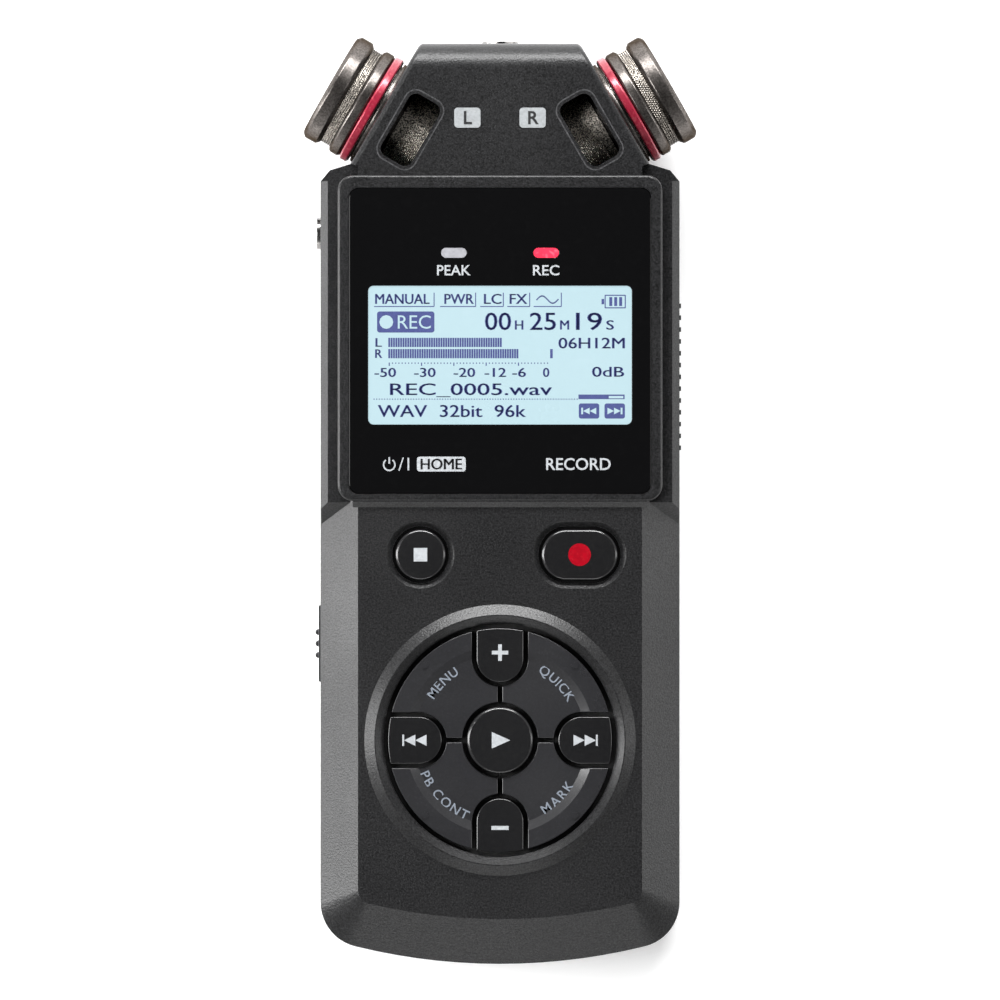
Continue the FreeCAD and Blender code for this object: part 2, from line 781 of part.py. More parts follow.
cutters.append(
    box(
        "HoldRecess",
        (f"-{half} - 1", "-foot_end + hold_place - hold_long / 2 - 0.4", f"{sideLevel} - 2.2"),
        ("1.7", "hold_long + hold_travel + 0.8", "4.4"),
    )
)
cutters.append(
    box(
        "HoldSlot",
        (f"-{half} - 1", "-foot_end + hold_place - 1.5", f"{sideLevel} - 0.8"),
        ("5", "hold_travel + 3", "1.6"),
    )
)
cutters.append(
    box(
        "CardOpening",
        (f"{half} - 3", f"{cardMid} - card_wide / 2 - 0.15", "split_level + 0.9"),
        ("4", "card_wide + 0.3", "5.75"),
    )
)
cutters.append(
    rod(
        "CardPinBore",
        (f"{half} - 0.75", f"{cardMid} - card_wide / 2 - 1.1", "split_level + 1.75"),
        "0.5",
        "card_wide + 2.2",
        "Y",
    )
)


def tagBlock(name, sign, grow, low, high):
    """Rounded rectangle of one channel tag; sign is - for the left tag."""
    body = newBody(name)
    sketch = newSketch(body, "Outline", low)
    rectangle(
        sketch,
        f"{sign}tag_apart - tag_wide / 2 - {grow}",
        f"head_end - tag_drop - tag_long / 2 - {grow}",
        f"{sign}tag_apart + tag_wide / 2 + {grow}",
        f"head_end - tag_drop + tag_long / 2 + {grow}",
    )
    block = pad(body, sketch, f"{high} - ({low})")
    fillet(body, block, "tag_corner", upright)
    return body


for sign, name in (("-", "Left"), ("", "Right")):
    recess = tagBlock("TagRecess" + name, sign, "0.05", f"{panelTop} - 0.55", f"{panelTop} + 0.5")
    cutters.append(recess)
cutters.append(
    box("UsbOpening", (f"{half} - 4", f"{bezelFoot} - 7.6", "board_level - 3.1"), ("6", "7.9", "2.9"))
)
done(cut("front_case", front, join("FrontCutters", cutters)), "front_case")

# ---- rear case ----
rear = newBody("rear_shell")
sketch = newSketch(rear, "SideOutline")
tub(sketch, *inTub("0", "corner_radius"))
pad(rear, sketch, "split_level - 0.02")
sketch = newSketch(rear, "HeadOutline")
polygon(sketch, headCorners("0"))
shell = pad(rear, sketch, "split_level - 0.02")
rounded = fillet(rear, shell, "back_round", atLevel(0))
sketch = newSketch(rear, "WideHollow", "split_level")
tub(sketch, *inTub("wall_thick", "corner_radius - wall_thick"))
pocket(rear, sketch, "split_level - wall_thick")
sketch = newSketch(rear, "HeadHollow", "split_level")
polygon(sketch, headCorners("wall_thick"))
pocket(rear, sketch, "split_level - wall_thick")
# Rails of the battery door, walls of the cell bay, and bosses.
railOut = "(door_half + 3.4)"
for sign, other in (("-", ""), ("", "-")):
    sketch = newSketch(rear, "Rail", "0.4")
    inner, outer = f"{sign}(door_half - 0.6)", f"{sign}{railOut}"
    edges = (inner, outer) if sign == "" else (outer, inner)
    rectangle(sketch, edges[0], "-foot_end + 6.5", edges[1], doorEnd)
    pad(rear, sketch, "3.4")
    sketch = newSketch(rear, "BayWall", "1")
    inner, outer = f"{sign}(door_half - 0.6)", f"{sign}(door_half + 0.8)"
    edges = (inner, outer) if sign == "" else (outer, inner)
    rectangle(sketch, edges[0], "-foot_end + 6.5", edges[1], doorEnd)
    pad(rear, sketch, "split_level - 1.5")
sketch = newSketch(rear, "BayEnd", "1")
rectangle(sketch, f"-{railOut}", doorEnd, railOut, f"{doorEnd} + 1.4")
pad(rear, sketch, "split_level - 1.5")
sketch = newSketch(rear, "Bosses", "1")
for x, y in bossSpots:
    circle(sketch, x, y, "2.9")
pad(rear, sketch, "split_level - 1.02")
sketch = newSketch(rear, "TripodBoss", "1")
circle(sketch, "0", "-foot_end + tripod_place", "7.4")
pad(rear, sketch, "8")
# Door opening with its grooves, then the holes in the floor.
sketch = newSketch(rear, "DoorOpening", "2.35")
rectangle(
    sketch,
    "-door_half - slide_gap",
    "-foot_end - 5",
    "door_half + slide_gap",
    f"{doorEnd} + slide_gap - 0.02",
)
pocket(rear, sketch, "3")
sketch = newSketch(rear, "BayClear", "split_level")
rectangle(sketch, "-door_half + 0.6", "-foot_end + 6.4", "door_half - 0.6", f"{doorEnd} - 0.4")
pocket(rear, sketch, "split_level + 1")
sketch = newSketch(rear, "DoorGroove", "2.35")
rectangle(
    sketch,
    "-door_half - 1.2 - slide_gap",
    "-foot_end - 5",
    "door_half + 1.2 + slide_gap",
    f"{doorEnd} + slide_gap - 0.02",
)
pocket(rear, sketch, "1.3")
sketch = newSketch(rear, "ScrewHeads")
for x, y in bossSpots:
    circle(sketch, x, y, "screw_radius + 1.1")
pocket(rear, sketch, "2.8", upward=True)
sketch = newSketch(rear, "ScrewHoles")
for x, y in bossSpots:
    circle(sketch, x, y, "screw_radius + 0.15")
pocket(rear, sketch, "split_level + 1", upward=True)
sketch = newSketch(rear, "TripodSeat")
circle(sketch, "0", "-foot_end + tripod_place", "5.1")
pocket(rear, sketch, "8", upward=True)
sketch = newSketch(rear, "SpeakerSlot")
circle(sketch, "0", "-foot_end + speaker_place", "0.7")
pocket(rear, sketch, "3", upward=True)
for ring, count in ((2.6, 6), (5.2, 12)):
    sketch = newSketch(rear, "SpeakerHole")
    circle(sketch, str(ring), "-foot_end + speaker_place", "0.7")
    hole = pocket(rear, sketch, "3", upward=True)
    centre = newSketch(rear, "SpeakerAxis")
    bind(centre, "AttachmentOffset.Base.y", "-foot_end + speaker_place")
    pattern = rear.newObject("PartDesign::PolarPattern", "SpeakerRing")
    pattern.Originals = [hole]
    pattern.Axis = (centre, ["N_Axis"])
    pattern.Angle = 360
    pattern.Occurrences = count
    rear.Tip = pattern
cutters = []
for side, name in ((-1, "Left"), (1, "Right")):
    tool = doc.addObject("Part::Cylinder", name + "RearMicBore")
    bind(tool, "Radius", "mic_radius - 2.3")
    tool.Height = 8
    tool.Placement = micPlace(side, "-5")
    cutters.append(tool)
done(cut("rear_case", rear, join("RearCutters", cutters)), "rear_case")

# ---- battery door ----
door = newBody("battery_door")
sketch = newSketch(door, "Plate")
tub(sketch, "door_half", doorEnd, "foot_end", "foot_radius", "0.3")
plate = pad(door, sketch, "2.1")
fillet(door, plate, "back_round", lambda edge: atLevel(0)(edge) and edge.BoundBox.YMax < value(doorEnd) - 20)
sketch = newSketch(door, "Tongues", "1.25")
rectangle(sketch, "-door_half - 1.2", "-foot_end + 9", "door_half + 1.2", f"{doorEnd} - 3")
pad(door, sketch, "0.85")
sketch = newSketch(door, "Grip")
for step in range(5):
    place = f"{doorEnd} - 6 - {step} * 1.6"
    rectangle(sketch, "-5", place, "5", f"{place} + 0.8")
pocket(door, sketch, "0.5", upward=True)
done(door, "battery_door")

# ---- cells and their contacts ----
cells, springs, plates = [], [], []
bayLow = "(-foot_end + 7.4)"
for side, name in ((-1, "Left"), (1, "Right")):
    x = f"{side} * (cell_radius + 0.25)"
    start = f"{bayLow} + 3" if side < 0 else f"{bayLow} + 1.75"
    body = rod(name + "Cell", (x, start, cellMid), "cell_radius", "cell_long", "Y")
    start = f"{bayLow} + 3 + cell_long" if side < 0 else f"{bayLow} + 0.45"
    nub = rod(name + "Nub", (x, start, cellMid), "2.7", "1.3", "Y")
    cells.append(join(name + "CellJoined", [body, nub]))
    plateA = box(name + "PlateLow", (f"{x} - 5.5", bayLow, f"{cellMid} - 5"), ("11", "0.4", "10"))
    top = f"{bayLow} + 4.35 + cell_long"
    plateB = box(name + "PlateHigh", (f"{x} - 5.5", top, f"{cellMid} - 5"), ("11", "0.4", "10"))
    plates += [plateA, plateB]
    # A leaf bent to a V between the contact plate and the flat end of the cell.
    away = 1 if side < 0 else -1
    root = f"{bayLow} + 0.5" if side < 0 else f"{top} - 0.1"
    leaf = newBody(name + "Leaf")
    sketch = newSketch(leaf, "Bend", x, "YZ_Plane")
    polygon(
        sketch,
        [
            (root, f"{cellMid} - 4"),
            (f"{root} + {away} * 2.35", cellMid),
            (root, f"{cellMid} + 4"),
            (root, f"{cellMid} + 3.3"),
            (f"{root} + {away} * 1.9", cellMid),
            (root, f"{cellMid} - 3.3"),
        ],
    )
    strip = pad(leaf, sketch, "5")
    strip.Midplane = True
    springs.append(leaf)
done(group("batteries", cells), "batteries")
done(group("battery_springs", springs), "battery_springs")
done(group("battery_plates", plates), "battery_plates")

# ---- main board with what it carries ----
board = newBody("main_board")
sketch = newSketch(board, "Outline", "board_level")
polygon(
    sketch,
    [
        (f"{half} - 3.2", "-foot_end + 13.5"),
        (f"{half} - 3.2", f"{shoulderLow} - 5.6"),
        ("5", f"{shoulderLow} - 5.6"),
        ("5", "head_end - 3"),
        ("-5", "head_end - 3"),
        ("-5", f"{shoulderLow} - 5.6"),
        (f"-{half} + 3.2", f"{shoulderLow} - 5.6"),
        (f"-{half} + 3.2", "-foot_end + 13.5"),
    ],
)
pad(board, sketch, "board_thick")
sketch = newSketch(board, "Holes", boardTop)
for x, y in boardSpots:
    circle(sketch, x, y, "1.1")
pocket(board, sketch, "3")
done(board, "main_board")

switchSpots = [(f"-{keySide}", keyRow), (keySide, keyRow), ("0", padMid)]
arrowStem = f"({padRadius} * 0.76)"
quarterStem = f"({padRadius} * 0.5)"
for x, y in ((1, 0), (-1, 0), (0, 1), (0, -1)):
    switchSpots.append((f"{x} * {arrowStem}", f"{padMid} + {y} * {arrowStem}"))
for x, y in ((1, 1), (-1, 1), (1, -1), (-1, -1)):
    switchSpots.append((f"{x} * {quarterStem}", f"{padMid} + {y} * {quarterStem}"))
switches = []
for number, (x, y) in enumerate(switchSpots, start=1):
    base = box(f"SwitchBase{number}", (f"{x} - 1.7", f"{y} - 1.7", boardTop), ("3.4", "3.4", "1.5"))
    dome = rod(f"SwitchDome{number}", (x, y, boardTop), "1", "2")
    switches.append(join(f"Switch{number}", [base, dome]))
done(group("tact_switches", switches), "tact_switches")

chips = [
    box("Codec", ("-9", "10", boardTop), ("9", "9", "1")),
    box("Memory", ("4", "20", boardTop), ("11", "8", "1")),
    box("Processor", ("-6", f"{padMid} - 24", "board_level - 1"), ("12", "6", "1")),
]
done(group("board_chips", chips), "board_chips")

# ---- display ----
glass = newBody("display_window")
sketch = newSketch(glass, "Outline", glassSeat)
rectangle(sketch, f"-{glassHalf}", glassFoot, glassHalf, glassTop)
pane = pad(glass, sketch, "glass_thick")
fillet(glass, pane, "glass_corner", upright)
done(glass, "display_window")
lcd = newBody("lcd_panel")
sketch = newSketch(lcd, "Outline", f"{glassSeat} - 1.9")
rectangle(sketch, f"-{screenHalf} - 1", f"{screenFoot} - 1", f"{screenHalf} + 1", f"{screenTop} + 1")
pad(lcd, sketch, "1.8")
done(lcd, "lcd_panel")
holder = newBody("lcd_frame")
sketch = newSketch(holder, "Outline", f"{boardTop} + 1.1")
rectangle(sketch, f"-{screenHalf} - 1", f"{screenFoot} - 1", f"{screenHalf} + 1", f"{screenTop} + 1")
rectangle(sketch, f"-{screenHalf} + 1", f"{screenFoot} + 1", f"{screenHalf} - 1", f"{screenTop} - 1")
pad(holder, sketch, f"{glassSeat} - 2 - {boardTop} - 1.1")
done(holder, "lcd_frame")
light = newBody("backlight")
sketch = newSketch(light, "Outline", f"{boardTop} + 1.1")
rectangle(
    sketch,
    f"-{screenHalf} + 1.1",
    f"{screenFoot} + 1.1",
    f"{screenHalf} - 1.1",
    f"{screenTop} - 1.1",
)
pad(light, sketch, "1.6")
done(light, "backlight")
for sign, label in (("-", "peak_light"), ("", "record_light")):
    lamp = newBody(label)
    sketch = newSketch(lamp, "Outline", f"{boardTop} + 0.6")
    pill(
        sketch,
        f"{sign}lamp_apart",
        f"{bezelTop} - lamp_drop",
        "(lamp_long - lamp_wide) / 2",
        "lamp_wide / 2",
    )
    pad(lamp, sketch, f"{glassSeat} - {boardTop} - 0.7")
    done(lamp, label)

# ---- upper keys ----
for label, side, reach, crest in (
    ("key_stop", "-", "0", "0.25"),
    ("key_record", "", "(record_long / 2 - key_radius)", "0.25"),
):
    key = newBody(label)
    mid = f"{side}{keySide}"
    sketch = newSketch(key, "Cap", f"{keyFoot} - 0.1")
    if reach == "0":
        circle(sketch, mid, keyRow, "key_radius")
    else:
        pill(sketch, mid, keyRow, reach, "key_radius")
    cap = pad(key, sketch, f"{panelTop} + {crest} - {keyFoot} + 0.1")
    fillet(key, cap, "0.5", atLevel(value(f"{panelTop} + {crest}")))
    sketch = newSketch(key, "Flange", f"{keyFoot} - 0.6")
    if reach == "0":
        circle(sketch, mid, keyRow, "key_radius + key_fit + 0.7")
    else:
        pill(sketch, mid, keyRow, reach, "key_radius + key_fit + 0.7")
    pad(key, sketch, "0.7")
    sketch = newSketch(key, "Stem", stemFoot)
    circle(sketch, mid, keyRow, "1.2")
    pad(key, sketch, f"{keyFoot} - {stemFoot}")
    done(key, label)

# ---- key pad: play key, four arrow keys, four quarter keys ----
play = newBody("key_play")
sketch = newSketch(play, "Cap", keyFoot)
circle(sketch, "0", padMid, "hub_radius")
cap = pad(play, sketch, f"{panelTop} + 0.5 - {keyFoot}")
fillet(play, cap, "0.5", atLevel(value(f"{panelTop} + 0.5")))
sketch = newSketch(play, "Stem", stemFoot)
circle(sketch, "0", padMid, "1.2")
pad(play, sketch, f"{keyFoot} - {stemFoot} + 0.2")
done(play, "key_play")


def padKey(label, shape, stem, turn):
    """Join a pad key to its stem and swing it about the middle of the pad."""
    whole = join(label, [shape, stem])
    whole.Placement.Rotation = FreeCAD.Rotation(FreeCAD.Vector(0, 0, 1), turn)
    bind(whole, "Placement.Base.y", padMid)
    return done(whole, label)


arrowEnd = "(arrow_width / 2)"
arrowTop = f"({panelTop} + 0.3 - {keyFoot})"
for label, turn in (("key_next", 0), ("key_plus", 90), ("key_previous", 180), ("key_minus", 270)):
    tip = rod(label + "Tip", (f"arrow_start + {arrowEnd}", "0", keyFoot), arrowEnd, arrowTop)
    bar = box(
        label + "Bar",
        (f"arrow_start + {arrowEnd}", f"-{arrowEnd}", keyFoot),
        (padRadius, "arrow_width", arrowTop),
    )
    disc = rod(label + "Disc", ("0", "0", keyFoot), padRadius, arrowTop)
    shape = doc.addObject("Part::Common", label + "Shape")
    shape.Base = join(label + "Long", [tip, bar])
    shape.Tool = disc
    stem = rod(label + "Stem", (arrowStem, "0", stemFoot), "1.2", f"{keyFoot} - {stemFoot} + 0.5")
    padKey(label, shape, stem, turn)

quarterTop = f"({panelTop} + 0.15 - {keyFoot})"
for label, turn in (("key_quick", 0), ("key_menu", 90), ("key_playback", 180), ("key_mark", 270)):
    disc = rod(label + "Disc", ("0", "0", keyFoot), padRadius, quarterTop)
    quarter = box(
        label + "Quarter", ("pad_gap / 2", "pad_gap / 2", f"{keyFoot} - 1"), ("40", "40", "20")
    )
    shape = doc.addObject("Part::Common", label + "Shape")
    shape.Base = disc
    shape.Tool = quarter
    away = [rod(label + "Hub", ("0", "0", f"{keyFoot} - 1"), "hub_radius + pad_gap", "20")]
    wide = f"({arrowEnd} + pad_gap)"
    reach = f"arrow_start + {arrowEnd}"
    for name, spot, low, size in (
        ("East", (reach, "0"), (reach, f"-{wide}"), ("40", f"2 * {wide}")),
        ("North", ("0", reach), (f"-{wide}", reach), (f"2 * {wide}", "40")),
    ):
        away.append(rod(label + name + "Round", spot + (f"{keyFoot} - 1",), wide, "20"))
        away.append(box(label + name + "Slot", low + (f"{keyFoot} - 1",), size + ("20",)))
    dish = doc.addObject("Part::Cone", label + "Dish")
    bind(dish, "Radius1", f"{padRadius} * 0.765")
    bind(dish, "Radius2", f"{padRadius} * 0.845")
    bind(dish, "Height", "0.46")
    bind(dish, "Placement.Base.z", f"{panelTop} + 0.15 - 0.45")
    away.append(dish)
    trimmed = cut(label + "Trimmed", shape, join(label + "Away", away))
    stem = rod(
        label + "Stem", (quarterStem, quarterStem, stemFoot), "1.2", f"{keyFoot} - {stemFoot} + 0.5"
    )
    padKey(label, trimmed, stem, turn)

# Rubber mat below the pad keys, with a hole for each stem.
mat = newBody("key_mat")
sketch = newSketch(mat, "Disc", f"{switchTop} + small_gap")
circle(sketch, "0", padMid, f"{padRadius} + 1.6")
circle(sketch, "0", padMid, "1.7")
for x, y in ((1, 0), (-1, 0), (0, 1), (0, -1)):
    circle(sketch, f"{x} * {arrowStem}", f"{padMid} + {y} * {arrowStem}", "1.7")
for x, y in ((1, 1), (-1, 1), (1, -1), (-1, -1)):
    circle(sketch, f"{x} * {quarterStem}", f"{padMid} + {y} * {quarterStem}", "1.7")
pad(mat, sketch, "0.6")
done(mat, "key_mat")

# ---- jacks ----
phonesY = "(head_end - phones_drop)"
shellJack = join(
    "PhonesOuter",
    [
        rod("PhonesCollar", (f"-{half} - 0.6", phonesY, jackLevel), "phones_radius", "3.4", "X"),
        box("PhonesBody", (f"-{half} + 2", f"{phonesY} - 2.7", "board_level - 4.9"), ("11.5", "5.4", "4.9")),
    ],
)
bore = rod("PhonesHole", (f"-{half} - 1", phonesY, jackLevel), "jack_radius", "13", "X")
done(cut("phones_jack", shellJack, bore), "phones_jack")
shellJack = join(
    "InputOuter",
    [
        rod("InputCollar", ("0", "head_end - 2.6", inputLevel), "input_radius", "3", "Y"),
        box("InputBody", ("-3.2", "head_end - 13.5", "board_level - 4.9"), ("6.4", "11.4", "4.9")),
    ],
)
bore = rod("InputHole", ("0", "head_end - 12.4", inputLevel), "jack_radius", "13", "Y")
done(cut("mic_jack", shellJack, bore), "mic_jack")

# ---- hold switch ----
holdMid = "(-foot_end + hold_place)"
knob = [
    box(
        "HoldPlate",
        (f"-{half} - 0.3", f"{holdMid} - hold_long / 2", f"{sideLevel} - 1.9"),
        ("0.8", "hold_long", "3.8"),
    ),
    box("HoldStem", (f"-{half} + 0.3", f"{holdMid} - 1", f"{sideLevel} - 0.5"), ("2.4", "2", "1")),
]
for step in (-1, 0, 1):
    knob.append(
        rod(
            f"HoldRidge{step + 2}",
            (f"-{half} - 0.35", f"{holdMid} + {step} * 1.75", f"{sideLevel} - 1.7"),
            "0.45",
            "3.4",
        )
    )
done(join("hold_knob", knob), "hold_knob")
done(
    box(
        "hold_switch",
        (f"-{half} + 2.9", f"{holdMid} - 3.4", f"{sideLevel} - 1.6"),
        ("3.4", "7", "3.1"),
    ),
    "hold_switch",
)

# ---- card door, socket and card ----
pinLevel = "(split_level + 1.75)"
doorLow = f"({cardMid} - card_wide / 2)"
pieces = [
    box("CardPlate", (f"{half} - 1.5", doorLow, pinLevel), ("1.5", "card_wide", "4.75")),
    rod("CardRoll", (f"{half} - 0.75", doorLow, pinLevel), "0.75", "card_wide", "Y"),
    rod("CardPin", (f"{half} - 0.75", f"{doorLow} - 0.9", pinLevel), "0.42", "card_wide + 1.8", "Y"),
]
for step in range(13):
    pieces.append(
        box(
            f"CardRib{step + 1}",
            (f"{half} - 0.2", f"{cardMid} - 11.1 + {step} * 1.8", f"{pinLevel} + 1"),
            ("0.45", "0.7", "3.2"),
        )
    )
done(join("card_door", pieces), "card_door")
socket = box(
    "SocketBlock", (f"{half} - 36.4", f"{cardMid} - 14", "board_level - 3.4"), ("29", "28", "3.4")
)
slot = box(
    "SocketSlot", (f"{half} - 35.4", f"{cardMid} - 12.1", "board_level - 2.9"), ("40", "24.2", "2.3")
)
done(cut("card_socket", socket, slot), "card_socket")
done(
    box(
        "memory_card", (f"{half} - 35.2", f"{cardMid} - 12", "board_level - 2.8"), ("32", "24", "2.1")
    ),
    "memory_card",
)
usb = box("UsbShell", (f"{half} - 9", f"{bezelFoot} - 7.5", "board_level - 3"), ("9", "7.7", "2.7"))
gap = box("UsbMouth", (f"{half} - 8", f"{bezelFoot} - 7.1", "board_level - 2.6"), ("9", "6.9", "1.9"))
done(cut("usb_socket", usb, gap), "usb_socket")

# ---- loudspeaker, tripod thread, screws ----
speaker = newBody("speaker")
sketch = newSketch(speaker, "Rim", "wall_thick + 0.05")
circle(sketch, "0", "-foot_end + speaker_place", "speaker_radius")
pad(speaker, sketch, "2")
sketch = newSketch(speaker, "Magnet", "wall_thick + 1")
circle(sketch, "0", "-foot_end + speaker_place", "speaker_radius * 0.6")
pad(speaker, sketch, "3.4")
done(speaker, "speaker")
nut = newBody("tripod_nut")
sketch = newSketch(nut, "Ring", "0.05")
circle(sketch, "0", "-foot_end + tripod_place", "5.05")
circle(sketch, "0", "-foot_end + tripod_place", "tripod_radius")
pad(nut, sketch, "7.4")
done(nut, "tripod_nut")

screws = []
for number, (x, y) in enumerate(bossSpots, start=1):
    crown = rod(f"ScrewHead{number}", (x, y, "1.2"), "screw_radius + 0.9", "1.55")
    shank = rod(f"ScrewShank{number}", (x, y, "2"), "screw_radius", "split_level + 3")
    drive = box(f"ScrewDrive{number}", (f"{x} - 1.3", f"{y} - 0.2", "1"), ("2.6", "0.4", "0.8"))
    cross = box(f"ScrewCross{number}", (f"{x} - 0.2", f"{y} - 1.3", "1"), ("0.4", "2.6", "0.8"))
    body = join(f"ScrewBody{number}", [crown, shank])
    recess = join(f"ScrewRecess{number}", [drive, cross])
    whole = cut(f"Screw{number}", body, recess)
    screws.append(whole)
done(group("case_screws", screws), "case_screws")
screws = []
for number, (x, y) in enumerate(boardSpots, start=1):
    crown = rod(f"BoardScrewHead{number}", (x, y, "board_level - 1"), "1.6", "1")
    shank = rod(f"BoardScrewShank{number}", (x, y, "board_level - 0.5"), "0.8", "4")
    screws.append(join(f"BoardScrew{number}", [crown, shank]))
done(group("board_screws", screws), "board_screws")

# ---- marker plates beside the microphone jack ----
tags = []
for sign, name in (("-", "Left"), ("", "Right")):
    tags.append(tagBlock("Tag" + name, sign, "0", f"{panelTop} - 0.5", f"{panelTop} - 0.1"))
done(group("channel_plates", tags), "channel_plates")

doc.recompute()
bad = 0
for item in doc.Objects:
    if "Invalid" in item.State or "Error" in item.State:
        print("BAD STATE", item.Name, item.Label, item.State)
        bad += 1
os.makedirs("parts", exist_ok=True)
for item in finished:
    shape = item.Shape
    if shape.isNull() or not shape.isValid():
        print("BAD SHAPE", item.Label)
        bad += 1
        continue
    shape.exportStep("parts/" + item.Label + ".step")
if bad:
    raise RuntimeError("the part has " + str(bad) + " faults")
print("written", len(finished), "parts")
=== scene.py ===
import json
import math
import bmesh
import bpy
from mathutils import Matrix, Vector


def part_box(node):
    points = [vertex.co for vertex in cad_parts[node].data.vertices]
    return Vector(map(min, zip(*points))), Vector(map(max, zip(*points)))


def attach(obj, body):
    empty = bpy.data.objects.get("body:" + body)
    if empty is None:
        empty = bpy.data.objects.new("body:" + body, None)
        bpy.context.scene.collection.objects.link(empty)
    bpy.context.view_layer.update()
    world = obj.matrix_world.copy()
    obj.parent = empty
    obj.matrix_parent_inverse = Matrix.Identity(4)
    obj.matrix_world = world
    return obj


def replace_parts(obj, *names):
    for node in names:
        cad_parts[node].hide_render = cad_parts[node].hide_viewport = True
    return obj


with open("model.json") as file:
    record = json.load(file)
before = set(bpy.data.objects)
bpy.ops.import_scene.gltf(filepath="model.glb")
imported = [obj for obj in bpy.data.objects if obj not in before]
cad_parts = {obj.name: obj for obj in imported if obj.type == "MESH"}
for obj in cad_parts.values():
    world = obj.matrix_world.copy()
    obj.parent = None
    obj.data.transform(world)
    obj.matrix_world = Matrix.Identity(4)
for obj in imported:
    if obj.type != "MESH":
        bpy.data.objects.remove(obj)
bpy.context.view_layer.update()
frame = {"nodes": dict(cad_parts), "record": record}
mm = 0.001


def addObject(name, data):
    thing = bpy.data.objects.new(name, data)
    bpy.context.collection.objects.link(thing)
    return thing


cameraSetup = {"lens": 500.0, "sensor": 36.0, "distance": 2.1195, "aimHeight": 0.013, "clip": 0.01}
cameraData = bpy.data.cameras.new("recorderCamera")
cameraData.lens = cameraSetup["lens"]
cameraData.sensor_width = cameraSetup["sensor"]
cameraData.clip_start = cameraSetup["clip"]
camera = addObject("recorderCamera", cameraData)
camera.location = (0, 0, cameraSetup["aimHeight"] + cameraSetup["distance"])
bpy.context.scene.camera = camera
print("camera placed above the front face")


def newTree(kind, name, inputs, outputs):
    tree = bpy.data.node_groups.new(name, kind)
    for label, socketKind, value in inputs:
        socket = tree.interface.new_socket(label, in_out="INPUT", socket_type=socketKind)
        socket.default_value = value
    for label, socketKind in outputs:
        tree.interface.new_socket(label, in_out="OUTPUT", socket_type=socketKind)
    return tree, tree.nodes.new("NodeGroupInput"), tree.nodes.new("NodeGroupOutput")


def link(tree, source, target):
    tree.links.new(source, target)


# A socket is linked, a plain value is set
def feed(tree, value, target):
    if hasattr(value, "is_output"):
        link(tree, value, target)
    else:
        target.default_value = value


def node(tree, kind, **fields):
    made = tree.nodes.new(kind)
    for field, value in fields.items():
        setattr(made, field, value)
    return made


def mixColours(tree, factor, first, second, blend="MIX"):
    mix = node(tree, "ShaderNodeMix", data_type="RGBA", blend_type=blend)
    link(tree, factor, mix.inputs[0])
    link(tree, first, mix.inputs[6])  # the colour sockets of this node are 6 and 7
    link(tree, second, mix.inputs[7])
    return mix.outputs[2]


def stretched(tree, source, low, high, outLow=0.0, outHigh=1.0):
    spread = node(tree, "ShaderNodeMapRange")
    for slot, value in enumerate((source, low, high, outLow, outHigh)):
        feed(tree, value, spread.inputs[slot])
    return spread.outputs[0]


def noise(tree, place, scale, detail):
    made = node(tree, "ShaderNodeTexNoise")
    made.inputs["Detail"].default_value = detail
    link(tree, place.outputs["Object"], made.inputs["Vector"])
    feed(tree, scale, made.inputs["Scale"])
    return made.outputs["Fac"]


effectOutputs = [
    ("Colour", "NodeSocketColor"), ("Roughness", "NodeSocketFloat"), ("Height", "NodeSocketFloat"),
]
skinPattern = {
    "grainDetail": 3, "grainRange": (0.35, 0.65), "grainShade": (0.1, 1.9), "fleckDetail": 0,
    "fleckRange": (0.6, 0.8), "touchScale": 55, "touchDetail": 4, "touchRange": (0.3, 0.7),
}


# Moulded or painted skin: fine grain, bright flecks and the sheen left by handling
def buildSkinGroup():
    tree, given, out = newTree(
        "ShaderNodeTree",
        "mouldedSkin",
        [
            ("Colour", "NodeSocketColor", (0.04, 0.04, 0.04, 1)),
            ("Fleck Colour", "NodeSocketColor", (0.2, 0.2, 0.2, 1)),
            ("Fleck Scale", "NodeSocketFloat", 4000),
            ("Grain Scale", "NodeSocketFloat", 2500),
            ("Grain Amount", "NodeSocketFloat", 0.4),
            ("Rough Low", "NodeSocketFloat", 0.3),
            ("Rough High", "NodeSocketFloat", 0.5),
        ],
        effectOutputs,
    )
    values = given.outputs
    place = node(tree, "ShaderNodeTexCoord")
    grain = noise(tree, place, values["Grain Scale"], skinPattern["grainDetail"])
    flecks = noise(tree, place, values["Fleck Scale"], skinPattern["fleckDetail"])
    touched = noise(tree, place, skinPattern["touchScale"], skinPattern["touchDetail"])
    level = stretched(tree, grain, *skinPattern["grainRange"], *skinPattern["grainShade"])
    shade = node(tree, "ShaderNodeCombineColor")
    for channel in shade.inputs[:3]:
        link(tree, level, channel)
    grained = mixColours(tree, values["Grain Amount"], values["Colour"], shade.outputs[0], "MULTIPLY")
    fleckMask = stretched(tree, flecks, *skinPattern["fleckRange"])
    colour = mixColours(tree, fleckMask, grained, values["Fleck Colour"])
    rough = stretched(tree, touched, *skinPattern["touchRange"], values["Rough Low"], values["Rough High"])
    link(tree, colour, out.inputs["Colour"])
    link(tree, rough, out.inputs["Roughness"])
    link(tree, grain, out.inputs["Height"])
    return tree


metalPattern = {"speckleDetail": 2, "patchScale": 220, "patchDetail": 3, "patchRange": (0.35, 0.65)}


